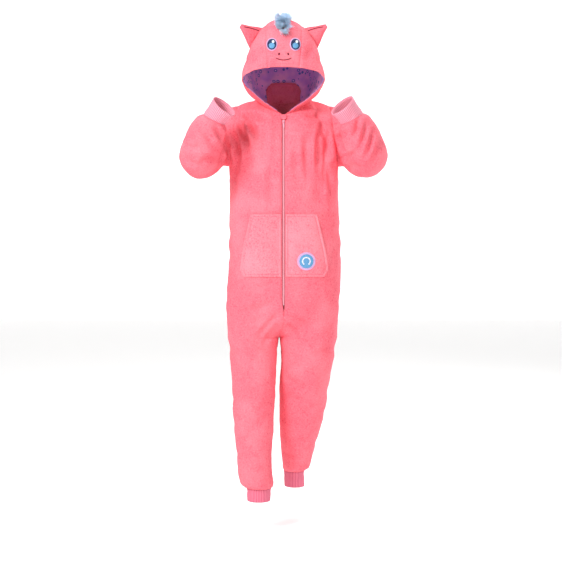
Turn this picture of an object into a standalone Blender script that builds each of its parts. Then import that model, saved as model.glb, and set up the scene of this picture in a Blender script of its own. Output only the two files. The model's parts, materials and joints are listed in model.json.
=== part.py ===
"""Pony costume: a hooded all-in-one of plush fleece, worn and hollow, arms raised to the hood.

Lengths are metres. +X is the wearer's left, -Y the front, +Z up. Tables give heights above
the floor under the wearer; the origin is between the shoulder seams, where the costume hangs.
Every cloth piece is a grid of points on its outer face. Pieces that are sewn together share
the points of their seam, so their walls meet squarely there, half a seam gap from each other.
"""
import math
from collections import namedtuple

import bpy
import numpy as np
from mathutils import Vector
from mathutils.bvhtree import BVHTree

SHOULDER_HEIGHT = 1.56
FLEECE = 0.0025
RIB = 0.003
JERSEY = 0.001
SEAM_GAP = 0.0003
LAY_GAP = 0.0006

RIGHT = -1
LEFT = 1
SIDE_NAMES = {RIGHT: "right", LEFT: "left"}
FRONT = -1
BACK = 1
FACE_NAMES = {FRONT: "front", BACK: "back"}

# Where a seam's own normal gives no clear way in, the face's does; a mitre never more than doubles.
CLEAR_TRIM = 0.4
NARROWEST_MITRE = 0.5

# Columns run from the centre seam to the side seam, and on the neck end those up to
# NECK_COLUMNS lie on the neckline and the rest on the shoulder seam.
COLUMNS = 10
NECK_COLUMNS = 7
YOKE_ROWS = 7
SQUARENESS = 2.5

UNDERARM_HEIGHT = 1.325
RISE_TOP = 0.80
CROTCH_HEIGHT = 0.70
THIGH_BLEND = (0.60, 0.86)
ZIP_BOTTOM = 0.827
ZIP_TOP = 1.494
ZIP_HALF_GAP = 0.0055
ZIP_END_TAPER = 0.03
ZIP_END_BELOW = 0.02

TorsoRow = namedtuple("TorsoRow", "height right left front back")
TORSO = [
    TorsoRow(0.70, 0.203, 0.196, 0.112, 0.122),
    TorsoRow(0.74, 0.205, 0.199, 0.124, 0.134),
    TorsoRow(0.83, 0.210, 0.205, 0.138, 0.142),
    TorsoRow(0.90, 0.205, 0.209, 0.145, 0.138),
    TorsoRow(1.00, 0.199, 0.211, 0.149, 0.126),
    TorsoRow(1.10, 0.197, 0.206, 0.148, 0.118),
    TorsoRow(1.20, 0.196, 0.199, 0.142, 0.120),
    TorsoRow(1.325, 0.199, 0.199, 0.133, 0.128),
]

SeamRow = namedtuple("SeamRow", "height x")
CENTRE_SEAM = [
    SeamRow(0.70, -0.016),
    SeamRow(0.73, -0.010),
    SeamRow(0.775, 0.003),
    SeamRow(0.815, 0.0005),
    SeamRow(0.835, 0.0),
    SeamRow(0.855, 0.0),
    SeamRow(0.90, 0.0),
    SeamRow(1.325, 0.0),
]

# Inner and outer are distances from the middle, negative across it.
LegRow = namedtuple("LegRow", "height inner outer y depth")
LEGS = {
    RIGHT: [
        LegRow(0.161, 0.045, 0.135, -0.100, 0.045),
        LegRow(0.172, 0.038, 0.152, -0.099, 0.058),
        LegRow(0.200, 0.041, 0.161, -0.095, 0.063),
        LegRow(0.260, 0.044, 0.168, -0.086, 0.066),
        LegRow(0.350, 0.038, 0.178, -0.068, 0.075),
        LegRow(0.450, 0.033, 0.186, -0.047, 0.084),
        LegRow(0.550, 0.028, 0.190, -0.025, 0.095),
        LegRow(0.640, 0.0235, 0.198, -0.005, 0.107),
        LegRow(0.70, 0.016, 0.203, 0.005, 0.117),
    ],
    LEFT: [
        LegRow(0.188, 0.002, 0.080, 0.080, 0.041),
        LegRow(0.199, -0.001, 0.096, 0.080, 0.054),
        LegRow(0.225, -0.003, 0.104, 0.077, 0.059),
        LegRow(0.280, -0.009, 0.119, 0.070, 0.064),
        LegRow(0.350, -0.014, 0.137, 0.057, 0.074),
        LegRow(0.450, -0.014, 0.158, 0.038, 0.084),
        LegRow(0.550, -0.013, 0.172, 0.020, 0.095),
        LegRow(0.640, -0.0090, 0.186, 0.010, 0.107),
        LegRow(0.70, -0.016, 0.196, 0.005, 0.117),
    ],
}
LEG_SEAM_STEPS = (0.0, 0.011, 0.034, 0.070)
LEG_ROWS = 9
RISE_ROWS = 5
TORSO_ROWS = 11

NECK_FRONT = (0.0, -0.100, 1.509)
NECK_SIDE = (0.100, 0.004, 1.572)
NECK_BACK = (0.0, 0.076, 1.556)
SHOULDER_TIP = (0.166, 0.004, 1.548)
ARMHOLE_FRONT = 0.088
ARMHOLE_BACK = 0.080
YOKE_BULGE = 0.012
NECK_RISE = 1.4

# A fold is a soft trough (depth > 0) or ridge (depth < 0) along a line across the front or back.
Fold = namedtuple("Fold", "face x1 height1 x2 height2 width depth")
FOLD_FADE = 0.06
FOLDS = [
    Fold(FRONT, -0.150, 1.46, -0.120, 1.30, 0.022, 0.010),
    Fold(FRONT, -0.105, 1.47, -0.085, 1.36, 0.022, -0.006),
    Fold(FRONT, 0.150, 1.44, 0.125, 1.22, 0.022, 0.009),
    Fold(FRONT, 0.095, 1.42, 0.090, 1.26, 0.026, -0.006),
    Fold(FRONT, -0.010, 0.74, -0.090, 0.69, 0.022, 0.009),
    Fold(FRONT, 0.010, 0.75, 0.090, 0.71, 0.022, 0.008),
    Fold(FRONT, -0.030, 0.80, -0.140, 0.79, 0.030, -0.006),
    Fold(FRONT, -0.185, 0.64, -0.110, 0.56, 0.024, 0.008),
    Fold(FRONT, -0.045, 0.45, -0.110, 0.41, 0.024, 0.008),
    Fold(FRONT, 0.010, 0.50, 0.090, 0.46, 0.026, 0.008),
    Fold(FRONT, 0.000, 0.33, 0.080, 0.30, 0.022, 0.007),
    Fold(FRONT, -0.150, 0.30, -0.060, 0.27, 0.022, 0.006),
    Fold(BACK, -0.090, 1.47, -0.080, 1.20, 0.028, 0.009),
    Fold(BACK, 0.085, 1.45, 0.095, 1.22, 0.028, 0.009),
    Fold(BACK, -0.120, 1.06, 0.130, 1.04, 0.030, 0.009),
    Fold(BACK, -0.150, 0.97, 0.100, 0.985, 0.026, -0.006),
    Fold(BACK, -0.020, 0.74, -0.110, 0.69, 0.024, 0.009),
    Fold(BACK, 0.015, 0.74, 0.105, 0.68, 0.024, 0.009),
    Fold(BACK, -0.150, 0.46, -0.060, 0.43, 0.026, 0.008),
    Fold(BACK, 0.020, 0.47, 0.120, 0.45, 0.026, 0.008),
]

# Each arm is a chain of bends and straights. A bend turns the tube to a new direction about a
# line just beside it; outward, forward and up give that direction, size the tube's new radius.
ArmStep = namedtuple("ArmStep", "kind outward forward up length size rings")
BEND = "bend"
STRAIGHT = "straight"
SLEEVES = {
    RIGHT: [
        ArmStep(BEND, 0.463, 0.571, -0.675, 0.0, 0.073, 5),
        ArmStep(STRAIGHT, 0.0, 0.0, 0.0, 0.008, 0.072, 1),
        ArmStep(BEND, -0.45, 0.15, 0.88, 0.0, 0.065, 7),
        ArmStep(STRAIGHT, 0.0, 0.0, 0.0, 0.058, 0.056, 2),
        ArmStep(STRAIGHT, 0.0, 0.0, 0.0, 0.018, 0.042, 1),
    ],
    LEFT: [
        ArmStep(BEND, 0.463, 0.571, -0.675, 0.0, 0.073, 5),
        ArmStep(STRAIGHT, 0.0, 0.0, 0.0, 0.003, 0.072, 1),
        ArmStep(BEND, -0.45, 0.15, 0.88, 0.0, 0.065, 7),
        ArmStep(STRAIGHT, 0.0, 0.0, 0.0, 0.058, 0.056, 2),
        ArmStep(STRAIGHT, 0.0, 0.0, 0.0, 0.018, 0.042, 1),
    ],
}
WRIST = [
    ArmStep(BEND, -0.60, 0.35, 0.72, 0.0, 0.041, 2),
    ArmStep(STRAIGHT, 0.0, 0.0, 0.0, 0.045, 0.046, 2),
]
BEND_MARGIN = 0.012
ANKLE_CUFF_LENGTH = {RIGHT: 0.046, LEFT: 0.059}
ANKLE_CUFF_TAPER = 0.94


def smooth(value):
    """Ease from 0 to 1 with flat ends."""
    value = min(max(value, 0.0), 1.0)
    return value * value * (3.0 - 2.0 * value)


def curve(keys, values, at):
    """Read a smooth curve through the values at the rising keys; flat beyond its ends."""
    keys = np.asarray(keys, float)
    values = np.asarray(values, float)
    at = min(max(at, keys[0]), keys[-1])
    i = min(max(int(np.searchsorted(keys, at)) - 1, 0), len(keys) - 2)
    slopes = np.gradient(values, keys, axis=0)
    span = keys[i + 1] - keys[i]
    t = (at - keys[i]) / span
    start = (2 * t**3 - 3 * t**2 + 1) * values[i] + (t**3 - 2 * t**2 + t) * span * slopes[i]
    end = (3 * t**2 - 2 * t**3) * values[i + 1] + (t**3 - t**2) * span * slopes[i + 1]
    return start + end


def row_at(rows, height):
    """Read every column but the first of a table with a row for each height."""
    return curve([row[0] for row in rows], [row[1:] for row in rows], height)


def unit(vector):
    return vector / np.linalg.norm(vector)


def round_power(value, squareness=SQUARENESS):
    """Turn a cosine or sine into the coordinate of a squarish oval."""
    return math.copysign(abs(value) ** (2.0 / squareness), value)


def material(name, colour, roughness, metallic=0.0):
    """Make the Principled material of one sub-part."""
    made = bpy.data.materials.new(name)
    made.use_nodes = True
    shader = made.node_tree.nodes["Principled BSDF"]
    shader.inputs["Base Color"].default_value = (*colour, 1.0)
    shader.inputs["Roughness"].default_value = roughness
    shader.inputs["Metallic"].default_value = metallic
    return made


def add_object(name, vertices, faces, finish):
    """Add one named solid from its vertices, in heights above the floor, and its faces."""
    mesh = bpy.data.meshes.new(name)
    places = [(p[0], p[1], p[2] - SHOULDER_HEIGHT) for p in vertices]
    mesh.from_pydata(places, [], faces)
    mesh.materials.append(finish)
    for polygon in mesh.polygons:
        polygon.use_smooth = True
    mesh.set_sharp_from_angle(angle=math.radians(40))
    made = bpy.data.objects.new(name, mesh)
    bpy.context.scene.collection.objects.link(made)
    return made


class Cloth:
    """A set of panels that share points along their seams, turned into closed walls."""

    def __init__(self):
        self.points = []
        self.places = {}
        self.panels = {}

    def index(self, point):
        key = tuple(int(round(c * 1e6)) for c in point)
        if key not in self.places:
            self.places[key] = len(self.points)
            self.points.append(np.asarray(point, float))
        return self.places[key]

    def panel(self, name, grid, closed=False, facing=None):
        """Add the triangles of a grid of points, turned outwards or the way that they face."""
        ids = [[self.index(p) for p in row] for row in grid]
        faces = []
        count = len(ids[0])
        for lower, upper in zip(ids, ids[1:]):
            for i in range(count if closed else count - 1):
                k = (i + 1) % count
                halves = [[lower[i], lower[k], upper[k]], [lower[i], upper[k], upper[i]]]
                faces += [half for half in halves if len(set(half)) == 3]
        middle = np.mean([self.points[i] for face in faces for i in face], axis=0)
        outward = 0.0
        for face in faces:
            centre = np.mean([self.points[i] for i in face], axis=0)
            direction = centre - middle if facing is None else np.array(facing, float)
            outward += float(np.dot(self.face_normal(face), direction))
        if outward < 0:
            faces = [face[::-1] for face in faces]
        self.panels[name] = faces

    def face_normal(self, face):
        """Give the triangle's normal, as long as twice its area."""
        a, b, c = (self.points[i] for i in face)
        return np.cross(b - a, c - a)

    def normals(self):
        """Average the normals of all faces at each point, over every panel."""
        sums = np.zeros((len(self.points), 3))
        for faces in self.panels.values():
            for face in faces:
                normal = self.face_normal(face)
                for i in face:
                    sums[i] += normal
        return sums / np.maximum(np.linalg.norm(sums, axis=1, keepdims=True), 1e-12)

    def trims(self, name, normals):
        """Work out how far each edge point of a panel moves in from its seam."""
        edges = {}
        for face in self.panels[name]:
            for a, b in zip(face, face[1:] + face[:1]):
                if (b, a) in edges:
                    del edges[(b, a)]
                else:
                    edges[(a, b)] = unit(self.face_normal(face))
        inwards = {}
        for (a, b), normal in edges.items():
            along = unit(self.points[b] - self.points[a])
            for i in (a, b):
                inward = np.cross(normals[i], along)
                if np.linalg.norm(inward) < CLEAR_TRIM:
                    inward = np.cross(normal, along)
                inwards.setdefault(i, []).append(unit(inward))
        moves = {}
        for i, pair in inwards.items():
            spread = max(1.0 + float(np.dot(pair[0], pair[-1])), NARROWEST_MITRE)
            moves[i] = (pair[0] + pair[-1]) * (SEAM_GAP / 2) / spread
        return list(edges), moves

    def wall(self, name, thickness, finish, lift=0.0, settle=None):
        """Make a panel a closed wall, its outer face on the points or lifted off them."""
        normals = self.normals()
        edges, moves = self.trims(name, normals)
        faces = self.panels[name]
        used = sorted({i for face in faces for i in face})
        order = {i: n for n, i in enumerate(used)}
        outer = []
        inner = []
        for i in used:
            place = self.points[i] + moves.get(i, 0.0)
            outer.append(place + normals[i] * lift)
            inner.append(place + normals[i] * (lift - thickness))
        count = len(used)
        solid = [[order[i] for i in face] for face in faces]
        solid += [[order[i] + count for i in reversed(face)] for face in faces]
        for a, b in edges:
            rim = [order[b], order[a], order[a] + count, order[b] + count]
            # Both sides of a seam split their rims along the same diagonal.
            if a < b:
                solid += [[rim[0], rim[1], rim[3]], [rim[1], rim[2], rim[3]]]
            else:
                solid += [rim[:3], [rim[0], rim[2], rim[3]]]
        vertices = outer + inner
        if settle:
            vertices = settle(vertices, [order[i] for i in used if i in moves], count)
        return add_object(name, vertices, solid, finish)


def fold_depth(x, y, height):
    """Add up the folds at a place; they fade out towards the side seams."""
    face = FRONT if y < 0 else BACK
    total = 0.0
    for fold in FOLDS:
        if fold.face != face:
            continue
        along = np.array([fold.x2 - fold.x1, fold.height2 - fold.height1])
        start = np.array([x - fold.x1, height - fold.height1])
        length = np.linalg.norm(along)
        t = float(np.dot(start, along)) / length**2
        near = min(max(t, 0.0), 1.0)
        away = np.linalg.norm(start - near * along)
        total += fold.depth * math.exp(-((away / fold.width) ** 2))
    return total * smooth(abs(y) / FOLD_FADE)


def folded(point):
    """Move a point of the body in or out by the folds that cross it."""
    x, y, height = point
    depth = fold_depth(x, y, height)
    return np.array([x, y + math.copysign(depth, -y), height])


def leg_rows(side):
    """List the heights of one side's rows, from the ankle seam to the underarm."""
    ankle = LEGS[side][0].height
    heights = [ankle + step for step in LEG_SEAM_STEPS]
    step = (CROTCH_HEIGHT - heights[-1]) / LEG_ROWS
    heights += [heights[-1] + step * (i + 1) for i in range(LEG_ROWS)]
    rise = RISE_TOP - CROTCH_HEIGHT
    for i in range(1, RISE_ROWS + 1):
        turn = math.pi / 2 * (1 - i / RISE_ROWS)
        heights.append(RISE_TOP - rise * math.sin(turn))
    step = (UNDERARM_HEIGHT - RISE_TOP) / TORSO_ROWS
    heights += [RISE_TOP + step * (i + 1) for i in range(TORSO_ROWS)]
    return heights


def centre_gap(face, height):
    """Give half the width that the zip takes out of the front's centre seam."""
    if face == BACK:
        return 0.0
    return ZIP_HALF_GAP * smooth((height - ZIP_BOTTOM + ZIP_END_BELOW) / ZIP_END_TAPER)


def body_row(side, face, height):
    """Place one row of a half front or back, from its centre seam or inseam to the side seam."""
    right, left, front, back = row_at(TORSO, max(height, CROTCH_HEIGHT))
    deep = front if face == FRONT else back
    seam = float(row_at(CENTRE_SEAM, height)[0])
    inner, outer, leg_y, leg_depth = row_at(LEGS[side], height)
    drop = (RISE_TOP - height) / (RISE_TOP - CROTCH_HEIGHT)
    seam_share = 1.0 - math.sqrt(1.0 - min(max(drop, 0.0), 1.0) ** 2)
    thigh_share = smooth((THIGH_BLEND[1] - height) / (THIGH_BLEND[1] - THIGH_BLEND[0]))
    if height > CROTCH_HEIGHT - 1e-9:
        outer = right if side == RIGHT else left
        inner = side * seam
        leg_y = leg_y * thigh_share
    middle = side * (inner + outer) / 2
    half = side * (outer - inner) / 2
    start = seam + side * centre_gap(face, height)
    points = []
    for i in range(COLUMNS + 1):
        u = i / COLUMNS
        quarter = u * math.pi / 2
        torso = np.array([
            start + (side * outer - start) * round_power(math.sin(quarter)),
            face * deep * round_power(math.cos(quarter)) + leg_y * u,
            height,
        ])
        turn = u * math.pi
        leg = np.array([
            middle - half * math.cos(turn),
            leg_y + face * leg_depth * math.sin(turn),
            height,
        ])
        away = smooth(u / 0.5)
        share = seam_share * (1 - away) + thigh_share * away
        points.append(folded(torso * (1 - share) + leg * share))
    if seam_share > 1 - 1e-9:
        points[0] = np.array([side * inner, leg_y, height])
    points[-1] = np.array([side * outer, leg_y, height])
    return points


def neckline(side, face):
    """Place the points of half the neckline, from the centre to the shoulder seam."""
    centre = NECK_FRONT if face == FRONT else NECK_BACK
    gap = centre_gap(face, NECK_FRONT[2])
    points = []
    for i in range(NECK_COLUMNS + 1):
        turn = i / NECK_COLUMNS * math.pi / 2
        x = gap + (NECK_SIDE[0] - gap) * math.sin(turn)
        y = NECK_SIDE[1] + (centre[1] - NECK_SIDE[1]) * math.cos(turn)
        rise = math.sin(turn) ** NECK_RISE
        points.append(np.array([side * x, y, centre[2] + (NECK_SIDE[2] - centre[2]) * rise]))
    return points


def armhole(side, face):
    """Place half the armhole, from the underarm up to the tip of the shoulder."""
    outer = row_at(TORSO, UNDERARM_HEIGHT)[0 if side == RIGHT else 1]
    low = np.array([side * outer, 0.0, UNDERARM_HEIGHT])
    high = np.array([side * SHOULDER_TIP[0], SHOULDER_TIP[1], SHOULDER_TIP[2]])
    centre = (low + high) / 2
    deep = ARMHOLE_FRONT if face == FRONT else ARMHOLE_BACK
    points = []
    for i in range(YOKE_ROWS + 1):
        turn = math.pi * i / YOKE_ROWS
        along = (low - high) / 2 * math.cos(turn)
        across = np.array([0.0, face * deep * math.sin(turn), 0.0])
        points.append(centre + along + across)
    points[0] = low
    points[-1] = high
    return points


def yoke(side, face, lowest):
    """Fill the panel between the underarm row, the neckline, the shoulder and the armhole."""
    top = neckline(side, face)
    high = armhole(side, face)[-1]
    for i in range(1, COLUMNS - NECK_COLUMNS + 1):
        t = i / (COLUMNS - NECK_COLUMNS)
        top.append(top[NECK_COLUMNS] * (1 - t) + high * t)
    edge = armhole(side, face)
    rows = []
    for j in range(1, YOKE_ROWS + 1):
        v = j / YOKE_ROWS
        bulge = np.array([0.0, face * YOKE_BULGE * math.sin(math.pi * v), 0.0])
        centre = lowest[0] * (1 - v) + top[0] * v + bulge
        row = []
        for i in range(COLUMNS + 1):
            u = i / COLUMNS
            ruled = lowest[i] * (1 - v) + top[i] * v
            sides = centre * (1 - u) + edge[j] * u
            corners = (lowest[0] * (1 - u) + lowest[-1] * u) * (1 - v)
            corners = corners + (top[0] * (1 - u) + top[-1] * u) * v
            point = ruled + sides - corners
            if 0 < i < COLUMNS and j < YOKE_ROWS:
                point = folded(point)
            row.append(point)
        rows.append(row)
    rows[-1] = top
    for j, row in enumerate(rows):
        row[-1] = edge[j + 1]
    return rows


def body_panel(side, face):
    """Place all rows of a half front or back, from the ankle to the neck."""
    rows = [body_row(side, face, height) for height in leg_rows(side)]
    return rows + yoke(side, face, rows[-1])


def turned(vector, axis, angle):
    """Turn a vector about a unit axis."""
    along = axis * np.dot(axis, vector) * (1 - math.cos(angle))
    return vector * math.cos(angle) + np.cross(axis, vector) * math.sin(angle) + along


def sweep(side, steps, ring, frame):
    """Carry a ring along a chain of bends and straights; give the new rings and last frame.

    A frame is the ring's centre and its directions up, forward and ahead.
    """
    centre, up, front, ahead = frame
    count = len(ring)
    shape = np.array([[np.dot(p - centre, axis) for axis in (up, front, ahead)] for p in ring])
    turns = [2 * math.pi * k / count for k in range(count)]
    rings = []
    for step in steps:
        circle = np.array([[step.size * math.cos(a), step.size * math.sin(a), 0] for a in turns])
        start = (centre, up, front, ahead)
        if step.kind == BEND:
            goal = unit(np.array([side * step.outward, -step.forward, step.up]))
            axis = unit(np.cross(ahead, goal))
            angle = math.acos(float(np.dot(ahead, goal)))
            inner = unit(goal - ahead * np.dot(goal, ahead))
            toward = np.array([np.dot(inner, up), np.dot(inner, front), 0.0])
            pivot = centre + inner * (BEND_MARGIN + float(np.max(shape @ toward)))
        for n in range(1, step.rings + 1):
            t = n / step.rings
            now = shape * (1 - t) + circle * t
            if step.kind == BEND:
                up, front, ahead = (turned(v, axis, angle * t) for v in start[1:])
                away = -turned(inner, axis, angle * t)
                centre = pivot + away * (BEND_MARGIN + float(np.max(now @ toward)))
            else:
                centre = start[0] + ahead * step.length * t
            rings.append([centre + up * a + front * b + ahead * c for a, b, c in now])
        shape = circle
    return rings, (centre, up, front, ahead)


def armhole_ring(side):
    """Join both halves of the armhole into one ring, from the shoulder tip down the front."""
    front = armhole(side, FRONT)
    back = armhole(side, BACK)
    ring = front[::-1] + back[1:-1]
    up = unit(front[-1] - front[0])
    forward = np.array([0.0, -1.0, 0.0])
    ahead = np.cross(up, forward)
    ahead = ahead * math.copysign(1.0, ahead[0] * side)
    return ring, ((front[0] + front[-1]) / 2, up, forward, ahead)


def ankle_cuff(side, ring):
    """Carry the leg's last ring down as a band that narrows a little to its hem."""
    middle = np.mean(ring, axis=0)
    rows = [ring]
    for t in (0.5, 1.0):
        size = 1 - (1 - ANKLE_CUFF_TAPER) * t
        drop = np.array([0.0, 0.0, -ANKLE_CUFF_LENGTH[side] * t])
        rows.append([middle + (p - middle) * size + drop for p in ring])
    return rows


# One row for each section of the hood, from the rim at the face round to the nape: t is its
# place along the hood, and each guide point is on the wearer's left.
HoodRow = namedtuple("HoodRow", "t apex seam temple corner cheek")
HOOD = [
    HoodRow(0.0, (0, -0.180, 1.668), (0.055, -0.176, 1.666), (0.122, -0.158, 1.652),
            (0.147, -0.146, 1.622), (0.080, -0.128, 1.558)),
    HoodRow(0.16, (0, -0.160, 1.745), (0.062, -0.150, 1.738), (0.120, -0.115, 1.708),
            (0.146, -0.102, 1.645), (0.122, -0.090, 1.580)),
    HoodRow(0.33, (0, -0.105, 1.822), (0.064, -0.096, 1.805), (0.116, -0.068, 1.752),
            (0.137, -0.056, 1.678), (0.126, -0.047, 1.608)),
    HoodRow(0.5, (0, -0.020, 1.858), (0.064, -0.015, 1.836), (0.113, -0.010, 1.772),
            (0.130, -0.004, 1.690), (0.120, 0.000, 1.618)),
    HoodRow(0.67, (0, 0.075, 1.828), (0.060, 0.072, 1.806), (0.102, 0.057, 1.748),
            (0.118, 0.048, 1.682), (0.108, 0.044, 1.615)),
    HoodRow(0.83, (0, 0.134, 1.725), (0.052, 0.127, 1.705), (0.084, 0.108, 1.668),
            (0.090, 0.090, 1.632), (0.084, 0.074, 1.596)),
    HoodRow(0.93, (0, 0.118, 1.632), (0.045, 0.108, 1.628), (0.060, 0.098, 1.610),
            (0.062, 0.088, 1.593), (0.060, 0.078, 1.576)),
    HoodRow(1.0, (0, 0.076, 1.556), (0.036, 0.070, 1.558), (0.036, 0.070, 1.558),
            (0.036, 0.070, 1.558), (0.036, 0.070, 1.558)),
]
HOOD_SIDE_COLUMNS = 6
HOOD_MIDDLE_COLUMNS = 2
GUIDES = 5


def hood_grid():
    """Place the hood's points in sections from the rim to the nape, each from right to left."""
    back = neckline(LEFT, BACK)
    feet = neckline(LEFT, FRONT) + back[NECK_COLUMNS - 1:HOOD_MIDDLE_COLUMNS - 1:-1]
    count = len(feet) - 1
    keys = [row.t for row in HOOD]
    places = [(GUIDES - 1) * i / HOOD_SIDE_COLUMNS for i in range(HOOD_SIDE_COLUMNS)]
    places += [GUIDES - 1 + i / HOOD_MIDDLE_COLUMNS for i in range(HOOD_MIDDLE_COLUMNS + 1)]
    sections = []
    for j, foot in enumerate(feet):
        t = j / count
        guides = [curve(keys, [row[k] for row in HOOD], t) for k in range(GUIDES, 0, -1)]
        line = [foot] + guides
        line.append(line[-2] * np.array([-1, 1, 1]))
        half = [curve(range(len(line)), line, place) for place in places]
        half[0] = foot
        if j == count:
            half = [foot] * HOOD_SIDE_COLUMNS + back[HOOD_MIDDLE_COLUMNS::-1]
        half[-1] = half[-1] * np.array([0, 1, 1])
        mirrored = [p * np.array([-1, 1, 1]) for p in half[:-1]]
        sections.append(mirrored + half[::-1])
    return sections


# A ray that runs exactly along an edge can miss both its faces, so it is tried beside it too.
EDGE_NUDGES = (0.0, 1e-5, -1e-5, 4e-5, -4e-5)
ZIP_EDGE_MARGIN = 0.0008


class Surface:
    """The outer face of one or more panels, to lay other pieces on."""

    def __init__(self, points, faces):
        self.tree = BVHTree.FromPolygons([Vector(p) for p in points], faces)

    def front(self, x, height):
        """Find the front of the surface at a place seen from the front."""
        for nudge in EDGE_NUDGES:
            start = Vector((x + nudge, -1.0, height + nudge / 2))
            hit = self.tree.ray_cast(start, Vector((0, 1, 0)))[0]
            if hit:
                return np.array(hit)
        raise ValueError(f"nothing in front at {x:.4f}, {height:.4f}")

    def over_zip(self, x, height):
        """Find the front there, bridging the gap that the zip fills."""
        edge = ZIP_HALF_GAP + ZIP_EDGE_MARGIN
        if abs(x) > edge:
            return self.front(x, height)
        t = (x + edge) / (2 * edge)
        return self.front(-edge, height) * (1 - t) + self.front(edge, height) * t

    def seat(self, point, lift):
        """Move a point to the nearest place on the surface, lifted off it."""
        place, normal = self.tree.find_nearest(Vector(point))[:2]
        return np.array(place + normal * lift)


# Each ear is a front and a back sewn round three edges and turned, open where it meets the hood.
EAR_INNER_FOOT = np.array([0.080, -0.022, 1.832])
EAR_OUTER_FOOT = np.array([0.124, -0.022, 1.752])
EAR_INNER_TIP = np.array([0.150, -0.040, 1.8405])
EAR_OUTER_TIP = np.array([0.160, -0.038, 1.827])
EAR_PUFF = 0.011
EAR_COLUMNS = 8
EAR_ROWS = 4
EAR_LIFT = 0.0015
EAR_FLEECE = 0.0015
EAR_SAG = 0.004
EAR_SETTLE_REACH = 0.006


def ear_grid(side, face, hood):
    """Place one face of an ear, from its foot on the hood to its tip, whose corner is cut off."""
    flip = np.array([side, 1, 1])
    rows = []
    for j in range(EAR_ROWS + 1):
        v = j / EAR_ROWS
        sag = np.array([0.0, 0.0, -EAR_SAG * math.sin(math.pi * v)])
        inner = EAR_INNER_FOOT * (1 - v) + EAR_INNER_TIP * v + sag
        outer = EAR_OUTER_FOOT * (1 - v) + EAR_OUTER_TIP * v + sag * np.array([0, 0, -1.0])
        row = []
        for i in range(EAR_COLUMNS + 1):
            u = i / EAR_COLUMNS
            puff = EAR_PUFF * math.sin(math.pi * u) * math.cos(math.pi / 2 * v) ** 0.5
            point = (inner * (1 - u) + outer * u + np.array([0, face * puff, 0])) * flip
            if j == 0:
                point = hood.seat(point, EAR_LIFT)
            row.append(point)
        if j == EAR_ROWS:
            row[0] = row[1]
        rows.append(row)
    return rows


def ear_settler(hood):
    """Give a function that lifts an ear's foot, through its whole wall, just off the hood."""
    def settle(vertices, edge, count):
        for n in edge:
            for k in (n, n + count):
                place, normal = hood.tree.find_nearest(Vector(vertices[k]))[:2]
                height = float(np.dot(vertices[k] - np.array(place), np.array(normal)))
                if height < EAR_SETTLE_REACH:
                    vertices[k] = np.array(place + normal * EAR_LIFT)
        return vertices
    return settle


LOCK_ROWS = 9
LOCK_COLUMNS = 9
TUFT_HALF_WIDTH = 0.024
TUFT_SPAN = (-0.092, 0.012)
TUFT_BACKING = 0.003
TUFT_LIFT = 0.0022
LockLevel = namedtuple("LockLevel", "reach size")
LOCK_LEVELS = [LockLevel(0.30, 0.80), LockLevel(0.70, 0.55)]
LOCK_LENGTH = 0.033
LOCK_UNEVEN = 0.16
LOCK_SPREAD = np.array([14.0, 7.0, 0.0])
LOCK_FALL = np.array([0.0, -0.25, 0.25])
LOCK_DROOP = np.array([0.0, -0.12, -0.10])
LOCK_STRAIGHTNESS = 0.4
LOCK_TIP_STRAIGHTNESS = 0.25


def forelock(hood, finish):
    """Build the tuft: a backing strip on the crown with a lock drawn from every other square."""
    top = []
    under = []
    for j in range(LOCK_ROWS + 1):
        for i in range(LOCK_COLUMNS + 1):
            x = TUFT_HALF_WIDTH * (2 * i / LOCK_COLUMNS - 1)
            y = TUFT_SPAN[0] + (TUFT_SPAN[1] - TUFT_SPAN[0]) * j / LOCK_ROWS
            crown = hood.tree.ray_cast(Vector((x, y, 2.5)), Vector((0, 0, -1)))
            place = np.array(crown[0])
            normal = unit(np.array([x * 5, y * 5 + 0.2, 1.0]))
            under.append(place + normal * TUFT_LIFT)
            top.append(place + normal * (TUFT_LIFT + TUFT_BACKING))
    wide = LOCK_COLUMNS + 1
    count = len(top)
    vertices = top + under
    faces = []
    middle = np.mean(top, axis=0)
    for j in range(LOCK_ROWS):
        for i in range(LOCK_COLUMNS):
            corner = j * wide + i
            square = [corner, corner + 1, corner + 1 + wide, corner + wide]
            faces.append([k + count for k in reversed(square)])
            if (i + j) % 2:
                faces.append(square)
                continue
            base = [vertices[k] for k in square]
            root = np.mean(base, axis=0)
            rise = unit(np.cross(base[1] - base[0], base[3] - base[0]))
            spread = (root - middle) * LOCK_SPREAD
            length = LOCK_LENGTH * (1 + LOCK_UNEVEN * math.sin(2.4 * i + 1.7 * j))
            lean = unit(rise + spread + LOCK_FALL)
            ring = square
            for level in LOCK_LEVELS:
                way = rise * LOCK_STRAIGHTNESS + lean * (1 - LOCK_STRAIGHTNESS)
                centre = root + way * length * level.reach
                start = len(vertices)
                vertices += [centre + (p - root) * level.size for p in base]
                for a in range(4):
                    b = (a + 1) % 4
                    faces.append([ring[a], ring[b], start + b, start + a])
                ring = list(range(start, start + 4))
            way = rise * LOCK_TIP_STRAIGHTNESS + lean * (1 - LOCK_TIP_STRAIGHTNESS)
            vertices.append(root + (way + LOCK_DROOP) * length)
            for a in range(4):
                faces.append([ring[a], ring[(a + 1) % 4], len(vertices) - 1])
    rim = list(range(wide))
    rim += [j * wide + LOCK_COLUMNS for j in range(1, LOCK_ROWS + 1)]
    rim += [LOCK_ROWS * wide + i for i in range(LOCK_COLUMNS - 1, -1, -1)]
    rim += [j * wide for j in range(LOCK_ROWS - 1, 0, -1)]
    for a, b in zip(rim, rim[1:] + rim[:1]):
        faces.append([b, a, a + count, b + count])
    add_object("forelock", vertices, faces, finish)


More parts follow.
